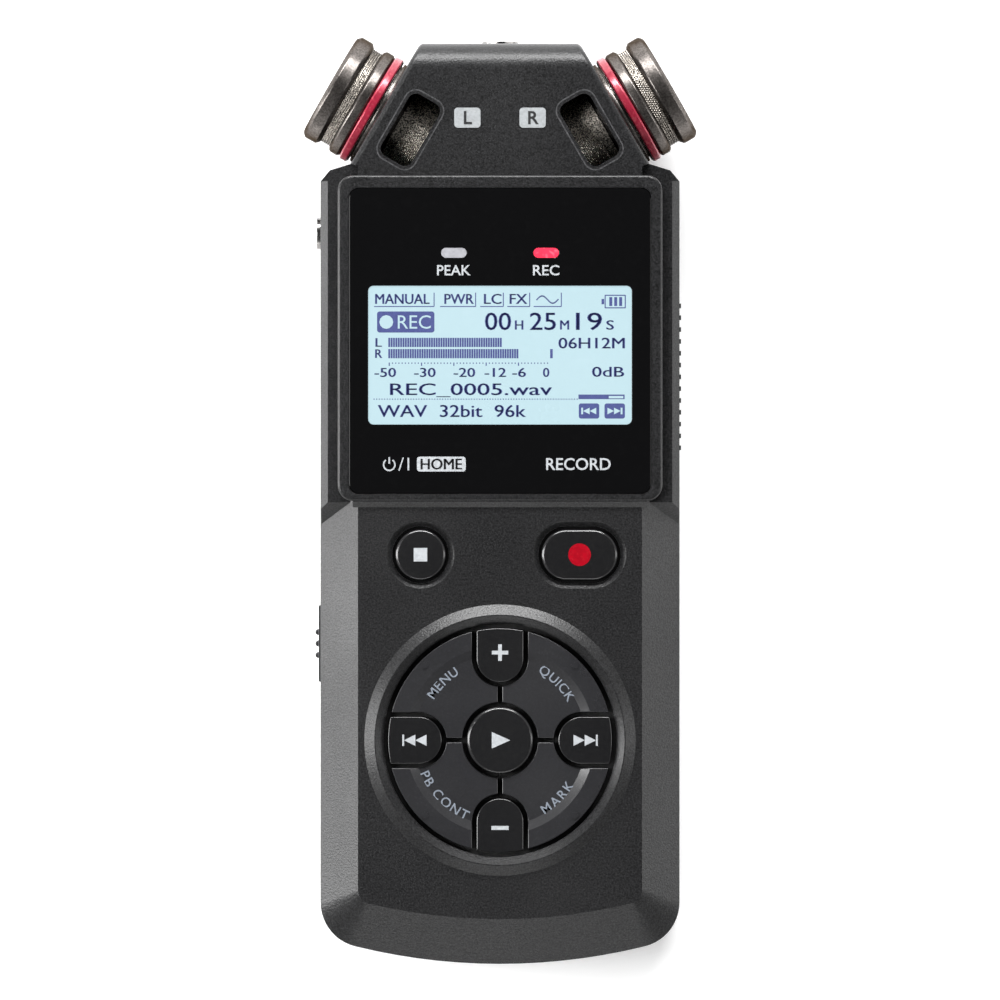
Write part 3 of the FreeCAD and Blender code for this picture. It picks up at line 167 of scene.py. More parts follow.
# Turned or plated metal: dull patches and speckle
def buildMetalGroup():
    tree, given, out = newTree(
        "ShaderNodeTree",
        "turnedMetal",
        [
            ("Light", "NodeSocketColor", (0.6, 0.6, 0.6, 1)),
            ("Dark", "NodeSocketColor", (0.2, 0.2, 0.2, 1)),
            ("Speckle Scale", "NodeSocketFloat", 1500),
            ("Speckle Low", "NodeSocketFloat", 0.45),
            ("Speckle High", "NodeSocketFloat", 0.6),
            ("Rough Low", "NodeSocketFloat", 0.15),
            ("Rough High", "NodeSocketFloat", 0.4),
        ],
        effectOutputs,
    )
    values = given.outputs
    place = node(tree, "ShaderNodeTexCoord")
    speckle = noise(tree, place, values["Speckle Scale"], metalPattern["speckleDetail"])
    patches = noise(tree, place, metalPattern["patchScale"], metalPattern["patchDetail"])
    speckleMask = stretched(tree, speckle, values["Speckle Low"], values["Speckle High"])
    colour = mixColours(tree, speckleMask, values["Dark"], values["Light"])
    rough = stretched(tree, patches, *metalPattern["patchRange"], values["Rough Low"], values["Rough High"])
    link(tree, colour, out.inputs["Colour"])
    link(tree, rough, out.inputs["Roughness"])
    link(tree, speckle, out.inputs["Height"])
    return tree


skinGroup = buildSkinGroup()
metalGroup = buildMetalGroup()

# What a skin has where its own lines don't say otherwise
plainSkin = {"metal": 0.0, "coat": 0.0, "coatRough": 0.12, "shine": 0.5, "grain": 0.12}
skinFinishes = {
    "caseCharcoal": {
        "colour": (0.0085, 0.0085, 0.009), "fleck": (0.024, 0.024, 0.025), "fleckScale": 5200,
        "grainScale": 3600, "grain": 0.9, "rough": (0.29, 0.38), "bump": 0.00005, "shine": 0.34},
    # Pale charcoal of the rings around the head openings: a painted highlight for their lit rounded edges
    "rimHighlightCharcoal": {
        "colour": (0.048, 0.048, 0.05), "fleck": (0.06, 0.06, 0.062), "fleckScale": 4000, "grainScale": 3000,
        "grain": 0.5, "rough": (0.25, 0.35), "bump": 0.00001, "coat": 0.1, "shine": 0.4},
    "keyGloss": {
        "colour": (0.0065, 0.0065, 0.007), "fleck": (0.009, 0.009, 0.009), "fleckScale": 3000,
        "grainScale": 1800, "rough": (0.16, 0.26), "bump": 0.000003, "coat": 0.3},
    "keySatin": {
        "colour": (0.013, 0.013, 0.0145), "fleck": (0.018, 0.018, 0.02), "fleckScale": 3600,
        "grainScale": 2400, "rough": (0.24, 0.36), "bump": 0.000006, "coat": 0.2},
    "windowBlack": {
        "colour": (0.0022, 0.0022, 0.0024), "fleck": (0.0025, 0.0025, 0.0027), "fleckScale": 900,
        "grainScale": 600, "grain": 0.02, "rough": (0.03, 0.07), "bump": 0.0, "shine": 0.3},
    "redBand": {
        "colour": (0.29, 0.014, 0.036), "fleck": (0.4, 0.06, 0.08), "fleckScale": 2200, "grainScale": 1500,
        "rough": (0.22, 0.36), "bump": 0.000004, "metal": 0.3, "coat": 0.3},
    "innerBlack": {
        "colour": (0.012, 0.012, 0.013), "fleck": (0.02, 0.02, 0.02), "fleckScale": 1500, "grainScale": 1200,
        "rough": (0.6, 0.8), "bump": 0.00001},
    "softRubber": {
        "colour": (0.016, 0.016, 0.016), "fleck": (0.03, 0.03, 0.03), "fleckScale": 1200, "grainScale": 2000,
        "rough": (0.65, 0.85), "bump": 0.00001},
    "boardGreen": {
        "colour": (0.012, 0.11, 0.045), "fleck": (0.02, 0.2, 0.08), "fleckScale": 700, "grainScale": 500,
        "rough": (0.3, 0.45), "bump": 0.000004, "coat": 0.2},
    "cellWrap": {
        "colour": (0.05, 0.11, 0.26), "fleck": (0.1, 0.18, 0.36), "fleckScale": 500, "grainScale": 300,
        "rough": (0.2, 0.3), "bump": 0.000004, "metal": 0.4, "coat": 0.3},
    "tagGrey": {
        "colour": (0.245, 0.258, 0.266), "fleck": (0.28, 0.295, 0.3), "fleckScale": 2400, "grainScale": 1800,
        "rough": (0.35, 0.5), "bump": 0.000004, "coat": 0.1},
    "printGrey": {
        "colour": (0.31, 0.325, 0.34), "fleck": (0.36, 0.375, 0.39), "fleckScale": 2600, "grainScale": 2000,
        "rough": (0.4, 0.55), "bump": 0.000002},
    "printDim": {
        "colour": (0.14, 0.16, 0.19), "fleck": (0.17, 0.19, 0.22), "fleckScale": 2600, "grainScale": 2000,
        "rough": (0.4, 0.55), "bump": 0.000002},
    "printDark": {
        "colour": (0.005, 0.005, 0.006), "fleck": (0.007, 0.007, 0.008), "fleckScale": 2600,
        "grainScale": 2000, "rough": (0.4, 0.55), "bump": 0.000002},
    "printRed": {
        "colour": (0.235, 0.0, 0.006), "fleck": (0.26, 0.004, 0.01), "fleckScale": 2600, "grainScale": 2000,
        "rough": (0.3, 0.45), "bump": 0.000002, "shine": 0.2},
    "lampGrey": {
        "colour": (0.26, 0.26, 0.28), "fleck": (0.30, 0.30, 0.32), "fleckScale": 1800, "grainScale": 1200,
        "rough": (0.2, 0.3), "bump": 0.000002, "coat": 0.3},
    "lampRed": {
        "colour": (0.5, 0.02, 0.05), "fleck": (0.85, 0.08, 0.12), "fleckScale": 1800, "grainScale": 1200,
        "rough": (0.2, 0.3), "bump": 0.000002, "coat": 0.3, "glow": (0.85, 0.035, 0.07), "glowPower": 0.42},
    "screenPale": {
        "colour": (0.10, 0.14, 0.155), "fleck": (0.105, 0.145, 0.16), "fleckScale": 500, "grainScale": 900,
        "grain": 0.02, "rough": (0.25, 0.35), "bump": 0.0, "glow": (0.69, 0.93, 1.0), "glowPower": 0.55},
    "screenInk": {
        "colour": (0.034, 0.043, 0.125), "fleck": (0.04, 0.05, 0.14), "fleckScale": 3000, "grainScale": 3000,
        "rough": (0.3, 0.45), "bump": 0.0, "coat": 0.1, "glow": (0.07, 0.08, 0.28), "glowPower": 0.2},
}
plainMetal = {"edge": (1, 1, 1)}
metalFinishes = {
    "gunmetal": {
        "light": (0.17, 0.155, 0.145), "dark": (0.085, 0.077, 0.072), "scale": 3600, "range": (0.35, 0.65),
        "rough": (0.26, 0.38), "bump": 0.000008, "edge": (0.3, 0.28, 0.26)},
    "grilleSteel": {
        "light": (0.78, 0.72, 0.64), "dark": (0.10, 0.09, 0.08), "scale": 4600, "range": (0.42, 0.58),
        "rough": (0.3, 0.55), "bump": 0.00003},
    "wireSteel": {
        "light": (0.22, 0.2, 0.18), "dark": (0.07, 0.064, 0.058), "scale": 5200, "range": (0.4, 0.6),
        "rough": (0.2, 0.4), "bump": 0.000004},
    "platedSteel": {
        "light": (0.62, 0.61, 0.59), "dark": (0.4, 0.39, 0.38), "scale": 900, "range": (0.35, 0.65),
        "rough": (0.2, 0.4), "bump": 0.000004},
    "jackNickel": {
        "light": (0.34, 0.33, 0.32), "dark": (0.16, 0.16, 0.16), "scale": 1000, "range": (0.35, 0.65),
        "rough": (0.18, 0.34), "bump": 0.000004},
    "screwSteel": {
        "light": (0.16, 0.16, 0.17), "dark": (0.07, 0.07, 0.08), "scale": 1200, "range": (0.35, 0.65),
        "rough": (0.3, 0.5), "bump": 0.000005},
    "threadBrass": {
        "light": (0.66, 0.47, 0.2), "dark": (0.42, 0.28, 0.1), "scale": 1000, "range": (0.35, 0.65),
        "rough": (0.25, 0.4), "bump": 0.000005},
}


def startMaterial(name):
    made = bpy.data.materials.new(name)
    made.use_nodes = True
    return made, made.node_tree.nodes["Principled BSDF"]


def addEffect(tree, shader, group, values, bumpDistance):
    effect = node(tree, "ShaderNodeGroup", node_tree=group)
    for label, value in values.items():
        effect.inputs[label].default_value = value
    link(tree, effect.outputs["Colour"], shader.inputs["Base Color"])
    link(tree, effect.outputs["Roughness"], shader.inputs["Roughness"])
    if bumpDistance:
        bump = node(tree, "ShaderNodeBump")
        bump.inputs["Distance"].default_value = bumpDistance
        link(tree, effect.outputs["Height"], bump.inputs["Height"])
        link(tree, bump.outputs["Normal"], shader.inputs["Normal"])


def buildSkin(name, ownLook):
    look = {**plainSkin, **ownLook}
    made, shader = startMaterial(name)
    values = {
        "Colour": (*look["colour"], 1), "Fleck Colour": (*look["fleck"], 1),
        "Fleck Scale": look["fleckScale"], "Grain Scale": look["grainScale"], "Grain Amount": look["grain"],
        "Rough Low": look["rough"][0], "Rough High": look["rough"][1],
    }
    addEffect(made.node_tree, shader, skinGroup, values, look["bump"])
    shader.inputs["Metallic"].default_value = look["metal"]
    shader.inputs["Coat Weight"].default_value = look["coat"]
    shader.inputs["Coat Roughness"].default_value = look["coatRough"]
    shader.inputs["Specular IOR Level"].default_value = look["shine"]
    if "glow" in look:
        shader.inputs["Emission Color"].default_value = (*look["glow"], 1)
        shader.inputs["Emission Strength"].default_value = look["glowPower"]
    return made


def buildMetal(name, ownLook):
    look = {**plainMetal, **ownLook}
    made, shader = startMaterial(name)
    values = {
        "Light": (*look["light"], 1), "Dark": (*look["dark"], 1), "Speckle Scale": look["scale"],
        "Speckle Low": look["range"][0], "Speckle High": look["range"][1],
        "Rough Low": look["rough"][0], "Rough High": look["rough"][1],
    }
    addEffect(made.node_tree, shader, metalGroup, values, look["bump"])
    shader.inputs["Metallic"].default_value = 1.0
    shader.inputs["Specular Tint"].default_value = (*look["edge"], 1)
    return made


finishes = {name: buildSkin(name, look) for name, look in skinFinishes.items()}
finishes.update({name: buildMetal(name, look) for name, look in metalFinishes.items()})
print("finishes mixed:", len(finishes))

# The finish that fills each slot of the CAD nodes
slotFinishes = {
    "case_charcoal": "caseCharcoal", "window_black": "windowBlack", "lcd_pale": "screenPale",
    "gunmetal": "gunmetal", "grille_steel": "grilleSteel", "plated_steel": "platedSteel",
    "jack_nickel": "jackNickel", "screw_steel": "screwSteel", "red_band": "redBand",
    "key_gloss": "keyGloss", "key_satin": "keySatin", "inner_black": "innerBlack",
    "soft_rubber": "softRubber", "lamp_grey": "lampGrey", "lamp_red": "lampRed",
    "board_green": "boardGreen", "cell_wrap": "cellWrap", "thread_brass": "threadBrass",
    "tag_grey": "tagGrey",
}
nodeSlots = {part["node"]: part["material_slot"] for part in frame["record"]["subparts"]}
nodeBody = {}
for bodyName, members in frame["record"]["behaviour"]["bodies"].items():
    for member in members:
        nodeBody[member] = bodyName
for name, thing in frame["nodes"].items():
    thing.data.materials.clear()
    thing.data.materials.append(finishes[slotFinishes[nodeSlots[name]]])


# Corners and middle of a node's box, in millimetres
def boxOf(name):
    low, high = [Vector(corner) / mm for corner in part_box(name)]
    return low, high, (low + high) / 2


def newPiece(name, mesh, body, finish):
    piece = addObject(name, mesh)
    mesh.materials.clear()
    mesh.materials.append(finishes[finish])
    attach(piece, body)
    return piece


def fromBmesh(name, work, smooth=False):
    mesh = bpy.data.meshes.new(name)
    work.to_mesh(mesh)
    work.free()
    for face in mesh.polygons:
        face.use_smooth = smooth
    return mesh


# Mesh of an object with its modifiers or letters worked out; the object goes
def takeMesh(thing):
    mesh = bpy.data.meshes.new_from_object(thing.evaluated_get(bpy.context.evaluated_depsgraph_get()))
    bpy.data.objects.remove(thing)
    return mesh


def raiseFaces(work, faces, rise):
    top = bmesh.ops.extrude_face_region(work, geom=faces)
    lifted = [item for item in top["geom"] if isinstance(item, bmesh.types.BMVert)]
    bmesh.ops.translate(work, verts=lifted, vec=(0, 0, rise * mm))


# Moulded and turned pieces get eased edges: a merged copy of the solid with a small bevel
edgeLook = {"weld": 0.002, "flat": 0.6, "dish": 12, "bevelFrom": 28, "segments": 2, "weight": 80}
easedEdges = {
    "front_case": 0.16, "rear_case": 0.16, "battery_door": 0.14, "card_door": 0.06, "hold_knob": 0.10,
    "key_stop": 0.10, "key_record": 0.10, "key_play": 0.10, "key_plus": 0.16, "key_minus": 0.16,
    "key_previous": 0.16, "key_next": 0.16, "key_menu": 0.12, "key_quick": 0.12, "key_mark": 0.12,
    "key_playback": 0.12, "mic_jack": 0.10, "phones_jack": 0.10,
    "left_mic_guard": 0.10, "right_mic_guard": 0.10, "left_mic_collar": 0.10, "right_mic_collar": 0.10,
    "left_mic_band": 0.08, "right_mic_band": 0.08, "left_mic_base": 0.06, "right_mic_base": 0.06,
}
dishedKeys = ("key_menu", "key_quick", "key_mark", "key_playback")  # their dish keeps a sharp rim


def easeEdges(name, width):
    work = bmesh.new()
    work.from_mesh(frame["nodes"][name].data)
    bmesh.ops.remove_doubles(work, verts=work.verts, dist=edgeLook["weld"] * mm)
    bmesh.ops.dissolve_limit(
        work, angle_limit=math.radians(edgeLook["flat"]), verts=work.verts, edges=work.edges,
        use_dissolve_boundaries=False,
    )
    for edge in work.edges:
        if name in dishedKeys and len(edge.link_faces) == 2:
            edge.smooth = edge.calc_face_angle() < math.radians(edgeLook["dish"])
    piece = addObject(name + "Eased", fromBmesh(name + "Eased", work, True))
    bevel = piece.modifiers.new("bevel", "BEVEL")
    bevel.width = width * mm
    bevel.segments = edgeLook["segments"]
    bevel.limit_method = "ANGLE"
    bevel.angle_limit = math.radians(edgeLook["bevelFrom"])
    bevel.harden_normals = True
    bevel.use_clamp_overlap = True
    flat = piece.modifiers.new("flatFaces", "WEIGHTED_NORMAL")
    flat.keep_sharp = True
    flat.weight = edgeLook["weight"]
    done = takeMesh(piece)
    done.name = name + "Eased"
    eased = newPiece(name + "Eased", done, nodeBody[name], slotFinishes[nodeSlots[name]])
    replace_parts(eased, name)


for name, width in easedEdges.items():
    easeEdges(name, width)
print("edges eased on", len(easedEdges), "pieces")

letterLook = {"steps": 3, "weld": 0.00001}


def textMesh(text, bold=0.0, steps=12):
    curve = bpy.data.curves.new("words", "FONT")
    curve.body = text
    curve.size = 1.0
    curve.align_x = "CENTER"
    curve.offset = bold
    curve.resolution_u = steps
    return takeMesh(addObject("words", curve))


def measureText(text, axis):
    mesh = textMesh(text)
    spans = [vertex.co[axis] for vertex in mesh.vertices]
    bpy.data.meshes.remove(mesh)
    return max(spans) - min(spans)


capHeight = measureText("H", 1)


def faceDown(face):
    face.normal_update()
    if face.normal.z > 0:
        face.normal_flip()


# Printed marks: thin shapes standing just proud of their surface
class Marks:
    def __init__(self):
        self.work = bmesh.new()

    def shape(self, points, low, high):
        face = self.work.faces.new([self.work.verts.new((x * mm, y * mm, low * mm)) for x, y in points])
        faceDown(face)
        raiseFaces(self.work, [face], high - low)

    def bar(self, x, y, wide, tall, low, high, turn=0.0):
        corners = [(-wide / 2, -tall / 2), (wide / 2, -tall / 2), (wide / 2, tall / 2), (-wide / 2, tall / 2)]
        lean = Matrix.Rotation(turn, 2)
        placed = [lean @ Vector(corner) for corner in corners]
        self.shape([(x + spot.x, y + spot.y) for spot in placed], low, high)

    def disc(self, x, y, radius, low, high, count=40):
        ring = [2 * math.pi * step / count for step in range(count)]
        self.shape([(x + radius * math.cos(a), y + radius * math.sin(a)) for a in ring], low, high)

    def rounded(self, x, y, wide, tall, radius, low, high):
        self.shape(roundedCorners(x, y, wide, tall, radius), low, high)

    def words(self, text, x, y, tall, low, high, turn=0.0, wide=None, bold=0.0):
        mesh = textMesh(text, bold, letterLook["steps"])
        scale = tall / capHeight
        spans = [vertex.co.x for vertex in mesh.vertices]
        across = scale if wide is None else wide / (max(spans) - min(spans))
        centre = 0.0 if wide is None else (max(spans) + min(spans)) / 2
        lean = Matrix.Rotation(turn, 3, "Z")
        for vertex in mesh.vertices:
            spot = lean @ Vector(((vertex.co.x - centre) * across, vertex.co.y * scale - tall / 2, 0))
            vertex.co = Vector(((spot.x + x) * mm, (spot.y + y) * mm, low * mm))
        letters = bmesh.new()
        letters.from_mesh(mesh)
        bmesh.ops.remove_doubles(letters, verts=letters.verts, dist=letterLook["weld"] * mm)
        for face in letters.faces:
            faceDown(face)
        raiseFaces(letters, letters.faces[:], high - low)
        letters.to_mesh(mesh)
        letters.free()
        self.work.from_mesh(mesh)
        bpy.data.meshes.remove(mesh)

    def finish(self, name, body, slotName, finish):
        bmesh.ops.recalc_face_normals(self.work, faces=self.work.faces)
        return newPiece(name, fromBmesh(name, self.work), body, finish)


def roundedCorners(x, y, wide, tall, radius, count=6):
    points = []
    for cx, cy, start in (
        (wide / 2 - radius, tall / 2 - radius, 0),
        (-wide / 2 + radius, tall / 2 - radius, 90),
        (-wide / 2 + radius, -tall / 2 + radius, 180),
        (wide / 2 - radius, -tall / 2 + radius, 270),
    ):
        for step in range(count + 1):
            angle = math.radians(start + 90 * step / count)
            points.append((x + cx + radius * math.cos(angle), y + cy + radius * math.sin(angle)))
    return points


def loopEdges(work, points, level):
    ring = [work.verts.new((x * mm, y * mm, level * mm)) for x, y in points]
    return [work.edges.new((ring[step], ring[(step + 1) % len(ring)])) for step in range(len(ring))]


# A plate with holes: the first loop is its outline, the others are cut out of it
def loopsToPlate(work, loops, low, high):
    edges = []
    for points in loops:
        edges += loopEdges(work, points, low)
    bmesh.ops.triangle_fill(work, use_beauty=True, use_dissolve=False, edges=edges)
    raiseFaces(work, work.faces[:], high - low)
    bmesh.ops.recalc_face_normals(work, faces=work.faces)


# Window: black pane with cut-outs for the screen and the lamps
windowLook = {
    "corner": 1.5, "edge": 0.12, "screenRim": 1.0, "screenCorner": 0.8, "screenSink": 0.12,
    "screenGap": 0.04, "lampGap": 0.04, "lampSink": 0.05, "lampHole": 0.01, "lampRound": 0.03,
}
windowLow, windowHigh, windowMid = boxOf("display_window")
screenLow, screenHigh, screenMid = boxOf("lcd_panel")
paneTop = windowHigh.z
screenWide = screenHigh.x - screenLow.x - 2 * windowLook["screenRim"]
screenTall = screenHigh.y - screenLow.y - 2 * windowLook["screenRim"]


def buildPane():
    wide, tall = windowHigh.x - windowLow.x, windowHigh.y - windowLow.y
    loops = [
        roundedCorners(windowMid.x, windowMid.y, wide, tall, windowLook["corner"]),
        roundedCorners(screenMid.x, screenMid.y, screenWide, screenTall, windowLook["screenCorner"]),
    ]
    for lamp in ("peak_light", "record_light"):
        low, high, spot = boxOf(lamp)
        radius = (high.y - low.y) / 2 - windowLook["lampHole"]
        loops.append(roundedCorners(spot.x, spot.y, high.x - low.x, high.y - low.y, radius))
    work = bmesh.new()
    loopsToPlate(work, loops, windowLow.z, paneTop)
    pane = newPiece("windowPane", fromBmesh("windowPane", work), "chassis", "windowBlack")
    edge = pane.modifiers.new("edge", "BEVEL")
    edge.width = windowLook["edge"] * mm
    edge.segments = 2
    edge.limit_method = "ANGLE"
    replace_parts(pane, "display_window")


buildPane()
lampCaps = {"peak_light": ("lampGrey", "lamp_grey"), "record_light": ("lampRed", "lamp_red")}
for lamp, (finish, slotName) in lampCaps.items():
    low, high, spot = boxOf(lamp)
    wide = high.x - low.x - windowLook["lampGap"]
    tall = high.y - low.y - windowLook["lampGap"]
    radius = (high.y - low.y) / 2 - windowLook["lampRound"]
    cap = Marks()
    cap.rounded(spot.x, spot.y, wide, tall, radius, low.z, paneTop - windowLook["lampSink"])
    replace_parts(cap.finish(lamp + "Cap", "chassis", slotName, finish), lamp)
sheet = Marks()
sheet.rounded(
    screenMid.x, screenMid.y, screenWide - windowLook["screenGap"], screenTall - windowLook["screenGap"],
    windowLook["screenCorner"], screenLow.z, paneTop - windowLook["screenSink"],
)
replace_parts(sheet.finish("screenSheet", "chassis", "lcd_pale", "screenPale"), "lcd_panel")
print("window built")

# Screen picture in millimetres from the sheet's upper left corner
# A word has its middle, height and width; a bar or a flag has its middle, width and height
screenArt = {
    "ink": 0.02, "heavier": 0.055,
    "words": (
        ("MANUAL", 5.2, 2.0, 1.5, 8.2), ("PWR", 13.8, 2.0, 1.5, 4.4), ("LC", 18.9, 2.0, 1.5, 2.6),
        ("FX", 22.8, 2.0, 1.5, 2.6), ("00", 19.7, 5.4, 2.6, 3.9), ("H", 22.9, 5.95, 1.4, 1.2),
        ("25", 26.5, 5.4, 2.6, 3.9), ("M", 29.8, 5.95, 1.4, 1.3), ("19", 33.5, 5.4, 2.6, 3.9),
        ("S", 36.7, 5.95, 1.4, 1.1), ("L", 1.6, 8.6, 1.3, 0.9), ("R", 1.6, 10.3, 1.3, 1.0),
        ("-50", 2.6, 13.15, 1.35, 3.2), ("-30", 8.6, 13.15, 1.35, 3.2), ("-20", 14.6, 13.15, 1.35, 3.2),
        ("-12", 19.3, 13.15, 1.35, 3.2), ("-6", 22.9, 13.15, 1.35, 2.0), ("0", 27.0, 13.15, 1.35, 0.9),
        ("06H12M", 33.9, 8.7, 1.6, 10.0), ("0dB", 36.4, 13.05, 1.5, 4.8),
        ("REC_0005.wav", 15.6, 15.7, 1.75, 24.5), ("WAV  32bit  96k", 12.7, 19.0, 1.8, 22.4),
    ),
    "tabs": ((0.9, 10.0), (10.9, 16.3), (17.0, 20.5), (21.1, 24.5), (25.1, 29.3)),
    "tabFoot": 3.15, "tabMid": 2.1, "tabTall": 2.1, "tabLine": 0.14,
    "wave": {"x": 25.6, "y": 2.1, "wide": 3.2, "tall": 0.55, "dots": 24, "dot": 0.2},
    "battery": (
        (37.5, 1.45, 3.0, 0.16), (37.5, 3.35, 3.0, 0.16), (39.0, 2.4, 0.16, 2.0), (35.95, 2.4, 0.16, 2.0),
        (35.6, 2.4, 0.4, 0.8), (36.8, 2.4, 0.45, 1.35), (37.55, 2.4, 0.45, 1.35), (38.3, 2.4, 0.45, 1.35),
    ),
    "levels": ((8.6, 20.6), (10.3, 22.9)),
    "column": {"from": 3.0, "first": 3.2, "step": 0.36, "wide": 0.29, "tall": 1.4},
    "peak": (27.8, 10.3, 0.4, 1.4),
    "scale": {
        "count": 50, "first": 3.2, "step": 0.49, "y": 11.65, "wide": 0.16, "long": 0.5, "short": 0.18,
    },
    "dotted": {"count": 78, "first": 0.9, "step": 0.4, "y": 17.2, "dot": 0.16},
    "progress": (35.4, 16.85, 7.0, 0.7), "progressLeft": (37.6, 16.9, 2.2, 0.35),
    "flag": (5.7, 5.5, 8.7, 3.2), "flagCorner": 0.4, "flagDot": (2.75, 5.5, 1.05),
    "flagText": (7.0, 5.5, 2.0, 5.0),
    "skips": ((33.5, 19.0, 3.1, 2.3), (37.4, 19.0, 3.1, 2.3)), "skipCorner": 0.35, "skipSize": 1.0,
    "skipSigns": ((34.1, -1), (36.8, 1)),
}
ink = Marks()
inkLow = paneTop - windowLook["screenSink"]
inkHigh = inkLow + screenArt["ink"]
left = screenMid.x - screenWide / 2
top = screenMid.y + screenTall / 2


def inkBar(x, y, wide, tall):
    ink.bar(left + x, top - y, wide, tall, inkLow, inkHigh)


def inkFlag(place, corner):
    x, y, wide, tall = place
    ink.rounded(left + x, top - y, wide, tall, corner, inkLow, inkHigh)


def drawScales():
    wave, column = screenArt["wave"], screenArt["column"]
    scale, dotted = screenArt["scale"], screenArt["dotted"]
    for step in range(wave["dots"]):  # sign of the low-cut filter
        phase = step / (wave["dots"] - 1)
        rise = wave["tall"] * math.sin(2 * math.pi * phase)
        inkBar(wave["x"] + wave["wide"] * phase, wave["y"] - rise, wave["dot"], wave["dot"])
    for row, end in screenArt["levels"]:  # each level bar is a row of fine columns
        for step in range(int((end - column["from"]) / column["step"])):
            inkBar(column["first"] + column["step"] * step, row, column["wide"], column["tall"])
    for step in range(scale["count"]):
        tall = scale["long"] if step % 10 == 0 else scale["short"]
        inkBar(scale["first"] + scale["step"] * step, scale["y"] + tall / 2, scale["wide"], tall)
    for step in range(dotted["count"]):
        inkBar(dotted["first"] + dotted["step"] * step, dotted["y"], dotted["dot"], dotted["dot"])


for text, x, y, tall, wide in screenArt["words"]:
    for shift in (-screenArt["heavier"], screenArt["heavier"]):  # drawn twice, so that it looks heavier
        ink.words(text, left + x + shift, top - y, tall, inkLow, inkHigh, wide=wide)
for start, end in screenArt["tabs"]:
    inkBar((start + end) / 2, screenArt["tabFoot"], end - start, screenArt["tabLine"])
    inkBar(end, screenArt["tabMid"], screenArt["tabLine"], screenArt["tabTall"])
for place in (*screenArt["battery"], screenArt["peak"], screenArt["progress"]):
    inkBar(*place)
drawScales()
inkFlag(screenArt["flag"], screenArt["flagCorner"])
for place in screenArt["skips"]:
    inkFlag(place, screenArt["skipCorner"])
ink.finish("screenInk", "chassis", "lcd_pale", "screenInk")


def skipSign(art, x, y, size, way, low, high):
    for shift in (0.0, size):
        tip = x + way * (shift + size / 2)
        back = x + way * (shift - size / 2)
        art.shape([(back, y - size / 2), (tip, y), (back, y + size / 2)], low, high)
    art.bar(x + way * (1.5 * size + 0.14), y, 0.28, size, low, high)


# Light drawing on the dark flags
def drawLight():
    art = Marks()
    low, high = inkHigh, inkHigh + screenArt["ink"]
    x, y, tall, wide = screenArt["flagText"]
    art.words("REC", left + x, top - y, tall, low, high, wide=wide)
    x, y, radius = screenArt["flagDot"]
    art.disc(left + x, top - y, radius, low, high, 12)
    x, y, wide, tall = screenArt["progressLeft"]
    art.bar(left + x, top - y, wide, tall, low, high)
    for x, way in screenArt["skipSigns"]:
        skipSign(art, left + x, top - screenArt["skips"][0][1], screenArt["skipSize"], way, low, high)
    art.finish("screenLight", "chassis", "lcd_pale", "screenPale")


drawLight()
print("screen drawn")

# Marks on the window: a word has its middle, height and width
windowMarks = {
    "thick": 0.02, "bold": 0.012, "lamps": (("peak_light", "PEAK", 5.1), ("record_light", "REC", 4.0)),
    "lampDrop": 2.65, "lampTall": 1.5, "record": (11.9, 5.45, 1.75, 9.8), "home": (-8.9, 5.45, 1.6, 6.2),
    "homeBox": (7.4, 2.25, 0.45), "homeHeavier": 0.06, "slash": (-15.0, 5.45, 0.2, 2.1), "slashLean": -18,
    "one": (-13.9, 5.45, 0.25, 1.9), "power": (-16.8, 5.35), "powerRing": (0.75, 0.98),
    "powerBar": (0.65, 0.25, 1.0),
    "powerFrom": 125, "powerSweep": 290, "powerSteps": 18,
}
paint = Marks()
paintHigh = paneTop + windowMarks["thick"]


def onWindow(text, x, y, tall, wide):
    paint.words(text, x, y, tall, paneTop, paintHigh, wide=wide, bold=windowMarks["bold"])


def drawPower():
    x, y = windowMarks["power"]
    inner, outer = windowMarks["powerRing"]
    rise, wide, tall = windowMarks["powerBar"]
    paint.bar(x, y + rise, wide, tall, paneTop, paintHigh)
    steps = windowMarks["powerSteps"]
    turns = [windowMarks["powerFrom"] + windowMarks["powerSweep"] * step / steps for step in range(steps + 1)]
    for first, second in zip(turns, turns[1:]):
        points = []
        for radius, turn in ((inner, first), (outer, first), (outer, second), (inner, second)):
            angle = math.radians(turn)
            points.append((x + radius * math.cos(angle), y + radius * math.sin(angle)))
        paint.shape(points, paneTop, paintHigh)


for lamp, text, wide in windowMarks["lamps"]:
    spot = boxOf(lamp)[2]
    onWindow(text, spot.x, spot.y - windowMarks["lampDrop"], windowMarks["lampTall"], wide)
onWindow("RECORD", *windowMarks["record"])
homeX, homeY, homeTall, homeWide = windowMarks["home"]
paint.rounded(homeX, homeY, *windowMarks["homeBox"], paneTop, paintHigh)
paint.bar(*windowMarks["slash"], paneTop, paintHigh, math.radians(windowMarks["slashLean"]))
paint.bar(*windowMarks["one"], paneTop, paintHigh)
drawPower()
paint.finish("windowPrint", "chassis", "tag_grey", "printGrey")

# Dark letters on the light box and on the two channel tags
tagMarks = {"apart": 4.95, "tall": 1.9, "bold": 0.02, "thick": 0.02}
dark = Marks()
for shift in (-windowMarks["homeHeavier"], windowMarks["homeHeavier"]):
    dark.words(
        "HOME", homeX + shift, homeY, homeTall, paintHigh, paintHigh + windowMarks["thick"], wide=homeWide
    )
tagTop, tagMid = boxOf("channel_plates")[1].z, boxOf("channel_plates")[2]
for side, letter in ((-1, "L"), (1, "R")):
    dark.words(
        letter, side * tagMarks["apart"], tagMid.y, tagMarks["tall"], tagTop, tagTop + tagMarks["thick"],
        bold=tagMarks["bold"],
    )
dark.finish("tagLetters", "chassis", "key_gloss", "printDark")

